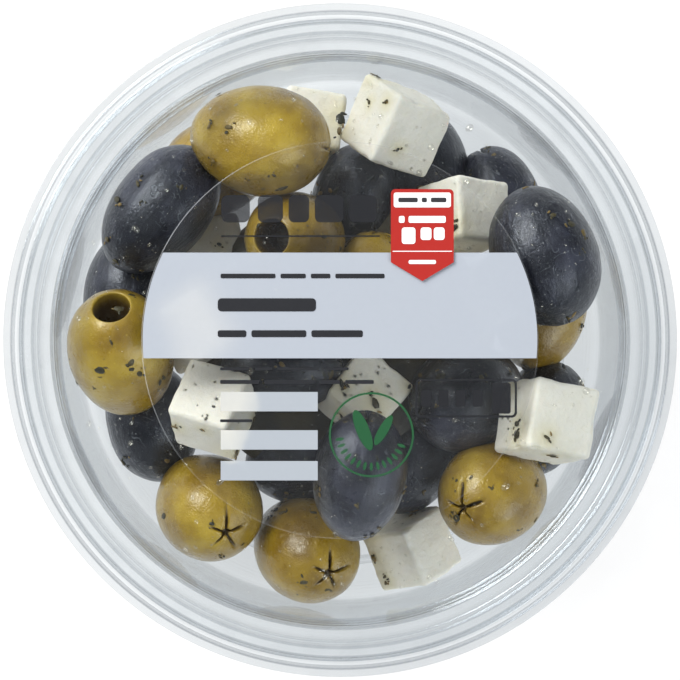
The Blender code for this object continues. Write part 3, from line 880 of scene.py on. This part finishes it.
def clear_plastic(looks):
    """Clear thin plastic: nothing but its gloss shows face on, and it greys where it turns away.

    A faint unevenness of the pressed sheet and smears of oil change its gloss a little. Where the sheet
    bends sharply more of the grey gloss shows, painted dark lines for how the bent sheet turns the light.
    The rim and the outer lip are a little greyer, partly as they are pressed less thin and partly as painted
    shade of the table under the tub, seen through them.
    """
    finish = Finish("pressed_plastic")
    where = finish.place()
    smears = finish.noise(where, 120.0, 1.0, 0.6).above(0.60, 0.10)
    ripples = finish.noise(where, 45.0, 0.0)
    away = finish.away()
    surface = {
        "Base Color": looks.plastic, "Metallic": 0.55, "Roughness": smears * 0.12 + 0.06,
        "Normal": finish.bump(ripples, 0.08 * MM, 0.10)}
    # The rim and the outer lip are greyer: partly thicker plastic, partly painted shade of the table under
    # the tub seen through them.
    thick_and_shaded = away.above(52.0 * MM, 1.0 * MM) * 0.045 + away.above(57.3 * MM, 0.4 * MM) * 0.075
    # The bend mark adds painted dark lines where the sheet bends sharply.
    shown = finish.turned_away() ** 3.0 * 0.62 + finish.mark("bend") * 0.36 + smears * 0.012 + thick_and_shaded + 0.006
    return finish.done(surface, shown, (0.938, 0.949, 0.956, 1.0))


def label_film():
    """Clear film with a cut edge that carries a painted highlight at the upper left, towards the key light,
    and is faint elsewhere.
    """
    finish = Finish("clear_film")
    edge = finish.away().above(FILM_RADIUS - 0.12 * MM, 0.10 * MM)
    scuffs = finish.noise(finish.place(), 200.0, 1.0)
    x, y = finish.across()
    # Painted highlight: the edge shows more towards the upper left, where the key light falls; scuffs vary
    # it all round.
    bright = (y * 0.4 - x).above(30.0 * MM, 28.0 * MM) * 0.15 + scuffs * 0.07 + 0.01
    surface = {"Base Color": (0.86, 0.89, 0.92, 1.0), "Roughness": scuffs * 0.12 + 0.10}
    return finish.done(surface, edge * bright + 0.006)


def printed(name, ink, cover, roughness=0.32, over_cheese=False):
    """Ink under film: its colour with a fine mottle, and the part of what lies below that it covers.

    Over cheese, which lies in its shadow here, it is made paler by painted light, as much as the lit white
    cheese below would brighten it through the ink.
    """
    finish = Finish(name)
    mottle = finish.noise(finish.place(), 900.0, 1.0)
    r, g, b = tuple(ink)[:3]
    shade = finish.mix(mottle * 0.16, (r, g, b, 1.0), (r * 0.8, g * 0.8, b * 0.8, 1.0))
    if over_cheese:
        # Painted light: paler where cheese lies right under the lid, as if the lit cheese shone up through
        # the ink.
        shade = finish.mix(finish.mark("ground"), shade, (r * 1.55, g * 1.42, b * 1.20, 1.0))
    surface = {"Base Color": shade, "Roughness": mottle * 0.10 + roughness, "Specular IOR Level": 0.3}
    return finish.done(surface, mottle * 0.05 + (cover - 0.025))


def green_skin(colour):
    """Green olive skin: brown and yellow clouds, small pale dots, dark stains, rims darkened as painted
    shade where seen edge on, and the cut darker towards its depth, partly its own brown and partly painted
    shade.
    """
    finish = Finish("green_olive_skin")
    own = finish.mark("own", "Vector")
    tone = finish.mark("tone")
    cut = finish.mark("cut")
    clouds = finish.noise(own, 0.13, 3.0, 0.55) + (tone - 0.5) * 0.16
    r, g, b = colour[:3]
    skin = finish.ramp(clouds, [
        (0.30, (r * 0.58, g * 0.52, b * 0.40, 1)), (0.50, (r, g, b, 1)),
        (0.66, (r * 1.36, g * 1.46, b * 2.0, 1)), (0.82, (r * 1.6, g * 1.78, b * 3.4, 1))])
    dots = 1 - finish.cells(own, 0.75).above(0.13, 0.10)
    skin = finish.mix(dots * 0.35, skin, (r * 1.9, g * 2.2, b * 4.5, 1))
    stains = finish.noise(own, 0.55, 4.0, 0.6).above(0.70, 0.06)
    skin = finish.mix(stains * 0.5, skin, (0.085, 0.050, 0.012, 1))
    # Painted shade: the skin darkens towards its rims, where it is seen edge on.
    skin = finish.mix(finish.turned_away() ** 2.5 * 0.60, skin, (r * 0.30, g * 0.30, b * 0.5, 1))
    # The cut and the pit hole darken with their depth: partly their own brown, partly painted shade.
    cut_colour_and_shade = finish.mix(cut.above(0.30, 0.35), skin, (0.075, 0.042, 0.008, 1))
    pores = finish.noise(own, 3.2, 1.0)
    folds = finish.noise(own, 0.35, 3.0)
    normal = finish.bump(pores * 0.30 + folds, 0.55 * MM, 0.60)
    rough = finish.noise(own, 0.30, 3.0, 0.65) * 0.40 + 0.10
    return finish.done({
        "Base Color": cut_colour_and_shade, "Roughness": rough, "Specular IOR Level": 0.60, "Normal": normal,
        "Specular Tint": (1.0, 0.94, 0.78, 1.0), "Coat Weight": 0.38, "Coat Roughness": 0.18})


def black_skin(colour):
    """Black olive skin: bluish black with paler clouds that are a painted sheen, fine wrinkles, scratches
    and pale dust of herbs, darker in the cut, partly its own dark and partly painted shade.
    """
    finish = Finish("black_olive_skin")
    own = finish.mark("own", "Vector")
    tone = finish.mark("tone")
    cut = finish.mark("cut")
    r, g, b = colour[:3]
    # Painted sheen: the paler clouds stand in for soft highlights on the skin.
    clouds = finish.noise(own, 0.10, 4.0, 0.6) + (tone - 0.5) * 0.1
    skin = finish.ramp(clouds, [
        (0.36, (r * 0.6, g * 0.6, b * 0.55, 1)), (0.50, (r, g, b, 1)),
        (0.66, (r * 6.5, g * 6.8, b * 5.2, 1))])
    dust = finish.noise(own, 0.30, 3.0).above(0.48, 0.20)
    specks = 1 - finish.cells(own, 0.70).above(0.085, 0.05)
    specks = specks + (1 - finish.cells(own, 1.7).above(0.13, 0.08)) * dust
    skin = finish.mix(specks * 0.7, skin, (0.30, 0.30, 0.29, 1))
    creases = finish.noise(own, 0.16, 2.0, 0.5)
    lines = finish.between(creases, 0.488, 0.495) + finish.between(creases, 0.566, 0.572)
    lines = lines * finish.noise(own, 0.45, 2.0).above(0.56, 0.06)
    skin = finish.mix(lines * 0.5, skin, (0.20, 0.21, 0.23, 1))
    # The cut darkens with its depth: partly the dark inside, partly painted shade.
    skin = finish.mix(cut.above(0.30, 0.35), skin, (0.004, 0.004, 0.005, 1))
    stretched = finish.node("ShaderNodeMapping", None, {"Vector": own, "Scale": (2.6, 2.6, 0.25)})
    wrinkles = finish.noise(stretched, 0.22, 2.0, 0.5)
    scratches = finish.noise(stretched, 1.3, 1.0).above(0.66, 0.03)
    grain = finish.noise(own, 1.3, 3.0, 0.7)
    normal = finish.bump(wrinkles + grain * 0.55 - scratches * 0.12, 0.45 * MM, 0.72)
    rough = finish.noise(own, 0.25, 2.0) * 0.30 + grain * 0.34 + 0.02
    return finish.done({
        "Base Color": skin, "Roughness": rough, "Normal": normal, "Specular IOR Level": 0.54,
        "Specular Tint": (0.88, 0.92, 1.0, 1.0), "Coat Weight": 0.32, "Coat Roughness": 0.27,
        "Coat Tint": (0.9, 0.95, 1.0, 1.0)})


def white_cheese(colour):
    """Moist white cheese: off-white crumb with pores, small spots darkened as painted shade of tiny holes,
    faintly yellow where oil lies round the herbs.
    """
    finish = Finish("white_cheese")
    own = finish.mark("own", "Vector")
    oil = finish.mark("oil")
    crumb = finish.noise(own, 0.9, 3.0, 0.65)
    r, g, b = colour[:3]
    body = finish.mix(crumb.above(0.45, 0.35) * 0.5, (r * 0.93, g * 0.92, b * 0.89, 1), (r, g, b, 1))
    body = finish.mix(oil * 0.55, body, (0.74, 0.66, 0.36, 1))
    # Pores: small spots darkened as painted shade of tiny holes in the crumb.
    pores = 1 - finish.cells(own, 1.5).above(0.16, 0.16)
    body = finish.mix(pores * 0.18, body, (r * 0.72, g * 0.70, b * 0.60, 1))
    fine = finish.noise(own, 5.0, 1.0)
    normal = finish.bump(crumb + fine * 0.25, 0.35 * MM, 0.60)
    rough = 0.62 - oil * 0.30 + crumb * 0.1
    return finish.done({
        "Base Color": body, "Roughness": rough, "Subsurface Weight": 0.25,
        "Subsurface Radius": (1.0, 0.85, 0.6), "Subsurface Scale": 1.6 * MM, "Normal": normal})


def dried_herb():
    """Dried herb, from olive green to brown."""
    finish = Finish("dried_herb")
    tone = finish.mark("tone")
    veins = finish.noise(finish.place(), 2400.0, 3.0)
    leaf = finish.ramp(tone * 0.8 + veins * 0.2, [
        (0.15, (0.020, 0.020, 0.008, 1)), (0.60, (0.065, 0.050, 0.013, 1)), (0.95, (0.28, 0.18, 0.045, 1))])
    return finish.done({
        "Base Color": leaf, "Roughness": veins * 0.3 + 0.35, "Normal": finish.bump(veins, 0.1 * MM, 0.6)})


def clear_oil():
    """Drops of pale oil: clear, with a hard bright gloss and a shaded edge."""
    finish = Finish("clear_oil")
    film = finish.noise(finish.place(), 700.0, 2.0)
    surface = {"Base Color": (0.92, 0.89, 0.78, 1.0), "Metallic": 1.0, "Roughness": film * 0.05 + 0.05}
    return finish.done(surface, finish.turned_away() ** 3 * 0.45 + 0.10)


def dark_core():
    """The inside of the heap, deep between the olives: oily and dark brown, its darkness partly painted
    shade of the heap's shadowed depths.
    """
    finish = Finish("heap_core")
    clouds = finish.noise(finish.place(), 140.0, 4.0)
    # Painted shade: the core is dark because the heap's depths lie in shadow.
    body = finish.ramp(clouds, [(0.35, (0.020, 0.017, 0.008, 1)), (0.65, (0.075, 0.055, 0.018, 1))])
    return finish.done({
        "Base Color": body, "Roughness": clouds * 0.2 + 0.35, "Normal": finish.bump(clouds, 1.0 * MM, 0.8)})


def white_floor():
    """The white table, lit a little from below, with the faintest paper grain."""
    finish = Finish("white_floor")
    grain = finish.noise(finish.place(), 300.0, 0.0)
    shade = finish.mix(grain, (0.31, 0.31, 0.31, 1), (0.33, 0.33, 0.33, 1))
    return finish.done({
        "Base Color": shade, "Roughness": 0.8, "Specular IOR Level": 0.1,
        "Emission Color": (1.0, 1.0, 1.0, 1.0), "Emission Strength": 0.72})


def scattered(count, largest, seed, crumbs=0):
    """Spots on every piece."""
    return np.vstack([spots_on(index, count, largest, seed, crumbs) for index in range(len(PIECES))])


def hanging(count):
    """Spots on the underside of the lid, evenly spread: at radius R sqrt(t) for a random t from 0 to 1."""
    draw = np.random.default_rng(23)
    away = 0.96 * PANEL_RADIUS * np.sqrt(draw.random(count))
    angles = draw.uniform(0, math.tau, count)
    heights = np.full(count, PANEL_HEIGHT - WALL)
    sizes = 0.35 * MM + 1.1 * MM * draw.random(count) ** 3
    normals = np.tile((0.0, 0.0, -1.0), (count, 1))
    return np.column_stack([away * np.cos(angles), away * np.sin(angles), heights, sizes, normals])


class OLIVETUB_OT_tub(bpy.types.Operator):
    """Makes the clear tub: raised base, foot ring, tapering wall, flared mouth and curled rim"""

    bl_idname = "olive_tub.tub"
    bl_label = "Tub"

    def execute(self, context):
        profile = rounded([
            (0.0, FOOT_RISE, 0.0),
            (FOOT_RADIUS, FOOT_RISE, 0.9 * MM),
            (FOOT_RADIUS + FOOT_RISE, 0.0, 0.7 * MM),
            (BASE_RADIUS, 0.0, BASE_CORNER),
            (MOUTH_RADIUS, MOUTH_HEIGHT, 1.5 * MM),
            (MOUTH_RADIUS + 2.9 * MM, RIM_HEIGHT, 0.6 * MM),
            (RIM_RADIUS, RIM_HEIGHT, 0.5 * MM),
            (RIM_RADIUS, LIP_HEIGHT + 0.6 * MM, 0.0),
        ])
        shape = open_surface(turned(with_bends(profile), TUB_SIDES))
        tub = put_piece("clear_tub", [shape], plastic_of(context), ["tub"], {"bend": 1})
        give_wall(tub, WALL)
        return {"FINISHED"}


class OLIVETUB_OT_lid(bpy.types.Operator):
    """Makes the clear lid: sunken panel, stepped plug wall, raised crown, skirt and lip"""

    bl_idname = "olive_tub.lid"
    bl_label = "Lid"

    def execute(self, context):
        profile = rounded([
            (LID_RADIUS, LIP_HEIGHT - 0.1 * MM, 0.0),
            (SKIRT_RADIUS + 0.2 * MM, LIP_HEIGHT, 0.3 * MM),
            (SKIRT_RADIUS, HEIGHT - 1.7 * MM, 0.8 * MM),
            (CROWN_OUTER_RADIUS, HEIGHT, 0.9 * MM),
            (CROWN_INNER_RADIUS, HEIGHT, 0.6 * MM),
            (LEDGE_RADIUS, PANEL_HEIGHT + 1.9 * MM, 0.25 * MM),
            (PANEL_RADIUS + 0.4 * MM, PANEL_HEIGHT + 1.6 * MM, 0.25 * MM),
            (PANEL_RADIUS, PANEL_HEIGHT, 0.4 * MM),
            (0.0, PANEL_HEIGHT, 0.0),
        ])
        rows = turned(with_bends(profile), TUB_SIDES)
        points, (quads, first) = open_surface(rows[::-1])
        shape = points, [quads[:, ::-1], first[:, ::-1]]
        lid = put_piece("clear_lid", [shape], plastic_of(context), ["lid"], {"bend": 1})
        give_wall(lid, WALL)
        return {"FINISHED"}


def plastic_of(context):
    """The one clear plastic of the tub and the lid."""
    return bpy.data.materials.get("pressed_plastic") or clear_plastic(context.scene.olive_tub_looks)


class OLIVETUB_OT_label(bpy.types.Operator):
    """Makes the round clear film, its pale band and white bars, and plain shapes where print would be"""

    bl_idname = "olive_tub.label"
    bl_label = "Label"

    def execute(self, context):
        looks = context.scene.olive_tub_looks
        level = FILM_TOP + PRINT_GAP
        outline = arc((0, 0), FILM_RADIUS, 0, math.tau, 240)[:-1]
        film = flat_plate(outline, FILM_BOTTOM, FILM_TOP - FILM_BOTTOM)
        put_print("label_disc", [film], label_film(), ["label"])

        band_bottom, band_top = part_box("label_band")[0].z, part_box("label_band")[1].z
        above = band_top + PRINT_GAP

        def ends(y):
            reach = np.sqrt((FILM_RADIUS - 0.25 * MM) ** 2 - y**2)
            return -reach, reach

        # The band and the bars are painted paler over cheese, as light from the lit cheese below.
        band_ink = printed("band_ink", looks.band, 0.76, over_cheese=True)
        print_over_cheese("pale_band", [(BAND_BOTTOM, BAND_TOP, band_top, ends)], band_top - band_bottom,
                          band_ink, ["label_band"])
        bars = [(low * MM, (low + 3.4) * MM, level + INK, lambda y: (-20.9 * MM, -3.9 * MM))
                for low in (-12.5, -19.2, -24.6)]
        bar_ink = printed("white_ink", looks.bars, 0.80, over_cheese=True)
        print_over_cheese("white_bars", bars, INK, bar_ink)

        dark = []
        for start, low, height, lengths, at in (
            (-20.9, 10.8, 0.8, (9.6, 4.4, 3.4, 8.6), above),
            (-21.4, 5.0, 2.3, (17.2,), above),
            (-21.4, 0.5, 1.2, (5.0, 9.6, 9.0), above),
            (-21.0, -5.3, 0.5, (5.2, 3.0, 7.4, 4.2), level),
            (-21.0, -7.7, 0.7, (6.8, 8.8, 3.6, 5.0), level),
            (-21.0, -14.4, 0.5, (5.6,), level),
        ):
            lefts = start + np.cumsum((0,) + lengths[:-1]) + 0.9 * np.arange(len(lengths))
            dark += blocks([(left, low, left + length, low + height, height * 0.3)
                            for left, length in zip(lefts, lengths)], at)
        put_print("dark_bars", dark, printed("dark_ink", looks.ink, 0.86))

        signs = [(left, 20.6, right, 25.4, corner) for left, right, corner in (
            (-20.8, -15.8, 1.2), (-14.4, -10.0, 1.0), (-9.0, -5.4, 1.0), (-4.4, 0.6, 1.0), (1.6, 6.4, 1.0))]
        rule = [(-20.8, 18.05, 7.0, 18.35, 0.1)]
        grey_ink = printed("grey_ink", looks.ink, 0.62)
        put_print("grey_blocks", blocks(signs + rule, level), grey_ink)

        small = [(left, -11.7, left + 1.8, -8.7, 0.4) for left in (14.2, 17.2, 20.2, 23.2)]
        scale = blocks(small + [(26.6, -12.9, 29.9, -7.5, 0.4)], level)
        inner, outer = (bar(*np.array(sides) * MM) for sides in (
            (13.6, -13.2, 30.6, -7.2, 0.6), (13.2, -13.6, 31.0, -6.8, 0.9)))
        scale.append(joined_ring(inner, outer, level, INK))
        put_print("scale_blocks", scale, printed("scale_ink", looks.ink, 0.66))

        centre = np.array([5.5, -16.6]) * MM
        inner, outer = (arc(centre, radius * MM, 0, math.tau, 96)[:-1] for radius in (7.1, 7.45))
        turns = np.radians(np.linspace(188, 340, 14))
        ovals = [(-1.5, 0.8, 3.8, 1.15, math.radians(112)), (2.1, 0.8, 3.0, 0.85, math.radians(60))]
        ovals += [(5.6 * math.cos(turn), 5.6 * math.sin(turn), 0.75, 0.28, turn) for turn in turns]
        emblem = [joined_ring(inner, outer, level, INK)]
        emblem += [flat_plate(self.oval(*oval) * MM + centre, level, INK) for oval in ovals]
        put_print("green_emblem", emblem, printed("green_ink", looks.green_ink, 0.80))
        return {"FINISHED"}

    def oval(self, x, y, half_length, half_width, turn):
        """The outline (l cos b, w sin b), turned, about the point (x, y)."""
        b = np.linspace(0, math.tau, 25)[:-1]
        along, aside = half_length * np.cos(b), half_width * np.sin(b)
        cos, sin = math.cos(turn), math.sin(turn)
        return np.column_stack([x + along * cos - aside * sin, y + along * sin + aside * cos])


class OLIVETUB_OT_sticker(bpy.types.Operator):
    """Makes the red pointed sticker, with its white field and plain bars"""

    bl_idname = "olive_tub.sticker"
    bl_label = "Sticker"

    def execute(self, context):
        low, high = BADGE
        middle = (low.x + high.x) / 2
        shoulder = low.y + 3.3 * MM
        corner = 0.8 * MM
        outline = np.vstack([
            [(low.x, shoulder), (middle, low.y), (high.x, shoulder)],
            arc((high.x - corner, high.y - corner), corner, 0, math.pi / 2, 6),
            arc((low.x + corner, high.y - corner), corner, math.pi / 2, math.pi, 6),
        ])
        plate = flat_plate(outline, low.z, high.z - low.z)
        red = printed("badge_ink", context.scene.olive_tub_looks.badge, 0.98, 0.28)
        put_print("red_sticker", [plate], red, ["sticker"])

        level = high.z + PRINT_GAP
        half = (high.x - low.x) / 2 / MM
        fields = [
            (0.5 - half, 23.2, half - 0.5, 25.8, 0.4), (-4.1, 20.5, -3.1, 21.7, 0.3),
            (-2.4, 20.5, 4.1, 21.7, 0.3), (-3.6, 16.8, -1.2, 19.7, 0.5), (-0.3, 17.5, 1.6, 19.7, 0.5),
            (2.0, 17.5, 3.9, 19.7, 0.5), (0.3 - half, 15.45, half - 0.3, 15.6, 0.05),
            (-2.4, 13.3, 2.4, 14.0, 0.3)]
        words = [(left, 24.1, right, 24.9, 0.25) for left, right in ((-4.2, -0.8), (-0.1, 0.8), (1.5, 4.2))]
        white_ink = printed("sticker_white", (0.86, 0.86, 0.86), 0.97)
        dark_ink = printed("sticker_dark", (0.03, 0.03, 0.035), 0.95)
        beside = middle / MM, 0, middle / MM, 0, 0
        put_print("sticker_fields", blocks(np.array(fields) + beside, level), white_ink)
        words_level = level + INK + PRINT_GAP / 2
        put_print("sticker_words", blocks(np.array(words) + beside, words_level), dark_ink)
        return {"FINISHED"}


class OLIVETUB_OT_olives(bpy.types.Operator):
    """Makes the green and the black olives, with star cuts and pit holes, and the core they lie on"""

    bl_idname = "olive_tub.olives"
    bl_label = "Olives"

    def execute(self, context):
        heap = context.scene.olive_tub_heap
        looks = context.scene.olive_tub_looks
        marks = {"own": 3, "cut": 1, "tone": 1}
        for name, kinds, material in (
            ("green_olives", ("green", "pitted"), green_skin(looks.green_skin)),
            ("black_olives", ("black",), black_skin(looks.black_skin)),
        ):
            shapes = [olive(piece, CENTRES[index], index, heap)
                      for index, piece in enumerate(PIECES) if piece[0] in kinds]
            put_piece(name, shapes, material, ["olive_heap"], marks)
        a = np.linspace(-math.pi / 2, math.pi / 2, 40)
        heights = CORE_MIDDLE + CORE_HALF_HEIGHT * np.sin(a)
        profile = np.column_stack([CORE_RADIUS * np.cos(a) ** 0.6, heights])
        profile[[0, -1], 0] = 0.0
        grid = turned(profile, 96)
        grid[..., 2] += 1.6 * MM * lattice_noise(grid, 8 * MM, 5) * np.cos(a)[:, None] ** 0.5
        grid[[0, -1]] = grid[[0, -1]].mean(axis=1, keepdims=True)
        # The core's darkness is painted shade of the heap's depths.
        put_piece("heap_core", [closed_surface(grid)], dark_core(), ["olive_heap"])
        return {"FINISHED"}


class OLIVETUB_OT_cheese(bpy.types.Operator):
    """Makes the cheese cubes, uneven and crumbly, with oil gathered round their herbs"""

    bl_idname = "olive_tub.cheese"
    bl_label = "Cheese cubes"

    def execute(self, context):
        heap = context.scene.olive_tub_heap
        material = white_cheese(context.scene.olive_tub_looks.cheese)
        cubes = [index for index, piece in enumerate(PIECES) if piece[0] == "cheese"]
        for number, index in enumerate(cubes, 1):
            flakes = spots_on(index, heap.flakes, heap.flake_length, 1, CRUMBS)
            shape = cheese_cube(PIECES[index], CENTRES[index], index, flakes)
            put_piece(f"cheese_{number:02d}", [shape], material, [f"cheese_cube_{number:02d}"],
                      {"own": 3, "oil": 1})
        return {"FINISHED"}


class OLIVETUB_OT_herbs(bpy.types.Operator):
    """Scatters herb flakes and oil drops over the olives and the cheese"""

    bl_idname = "olive_tub.herbs"
    bl_label = "Herbs and oil"

    def execute(self, context):
        heap = context.scene.olive_tub_heap
        draw = np.random.default_rng(11)
        oil = clear_oil()
        flakes = scattered(heap.flakes, heap.flake_length, 1, CRUMBS)
        for name, make, spots, material, marks in (
            ("herb_flakes", herb_flake, flakes, dried_herb(), {"tone": 1}),
            ("oil_drops", oil_drop, scattered(heap.drops, 0.8 * MM, 2), oil, {}),
            ("lid_drops", oil_drop, hanging(heap.lid_drops), oil, {}),
        ):
            along, across = lying_on(spots[:, 4:7], draw.uniform(0, math.tau, len(spots)))
            shapes = [make(spot, *ways, draw) for spot, *ways in zip(spots, along, across)]
            put_piece(name, shapes, material, (), marks)
        return {"FINISHED"}


class OLIVETUB_OT_stage(bpy.types.Operator):
    """Makes the white floor, the soft lights and the camera that looks straight down"""

    bl_idname = "olive_tub.stage"
    bl_label = "Floor, light and camera"

    def execute(self, context):
        stage = context.scene.olive_tub_stage
        mesh = bpy.data.meshes.new("floor")
        mesh.from_pydata([(-2, -2, 0), (2, -2, 0), (2, 2, 0), (-2, 2, 0)], [], [(0, 1, 2, 3)])
        mesh.materials.append(white_floor())
        floor = linked("floor", mesh)
        floor.location.z = -0.2 * MM
        self.lamp("key_light", (-0.52, 0.50, 0.62), 0.60, stage.key_power, (1.0, 0.985, 0.96))
        self.lamp("fill_light", (0.60, -0.45, 0.50), 0.70, stage.fill_power, (0.94, 0.97, 1.0))
        world = bpy.data.worlds.new("room")
        world.use_nodes = True
        background = world.node_tree.nodes["Background"]
        background.inputs["Color"].default_value = (0.96, 0.98, 1.0, 1.0)
        background.inputs["Strength"].default_value = stage.sky
        context.scene.world = world
        context.scene.view_settings.view_transform = "Standard"
        camera = bpy.data.cameras.new("camera")
        camera.sensor_width = 36.0
        camera.lens = 36.0 * stage.camera_height / stage.frame_width
        camera.clip_start = 0.01
        context.scene.camera = linked("camera", camera)
        context.scene.camera.location = (0.0, 0.0, LIP_HEIGHT + stage.camera_height)
        return {"FINISHED"}

    def lamp(self, name, place, width, power, colour):
        """A square soft light that looks at the tub."""
        light = bpy.data.lights.new(name, "AREA")
        light.size = width
        light.energy = power
        light.color = colour
        obj = linked(name, light)
        obj.location = place
        obj.rotation_euler = (-Vector(place)).to_track_quat("-Z", "Y").to_euler()


OPERATORS = (
    OLIVETUB_OT_tub, OLIVETUB_OT_lid, OLIVETUB_OT_label, OLIVETUB_OT_sticker, OLIVETUB_OT_olives,
    OLIVETUB_OT_cheese, OLIVETUB_OT_herbs, OLIVETUB_OT_stage,
)
GROUPS = {"olive_tub_looks": OliveTubLooks, "olive_tub_heap": OliveTubHeap, "olive_tub_stage": OliveTubStage}


class OLIVETUB_PT_panel(bpy.types.Panel):
    """The sizes, the colours and a button for each group of pieces"""

    bl_idname = "OLIVETUB_PT_panel"
    bl_label = "Olive Tub"
    bl_space_type = "VIEW_3D"
    bl_region_type = "UI"
    bl_category = "Olive Tub"

    def draw(self, context):
        for name, group in GROUPS.items():
            box = self.layout.box()
            for field in group.__annotations__:
                box.prop(getattr(context.scene, name), field)
        for operator in OPERATORS:
            self.layout.operator(operator.bl_idname)


def register():
    for name, group in GROUPS.items():
        bpy.utils.register_class(group)
        setattr(bpy.types.Scene, name, PointerProperty(type=group))
    for made in OPERATORS + (OLIVETUB_PT_panel,):
        bpy.utils.register_class(made)


def unregister():
    for made in reversed(OPERATORS + (OLIVETUB_PT_panel,)):
        bpy.utils.unregister_class(made)
    for name, group in GROUPS.items():
        delattr(bpy.types.Scene, name)
        bpy.utils.unregister_class(group)


def main():
    register()
    for operator in OPERATORS:
        group, name = operator.bl_idname.split(".")
        getattr(getattr(bpy.ops, group), name)()


if __name__ == "__main__":
    main()
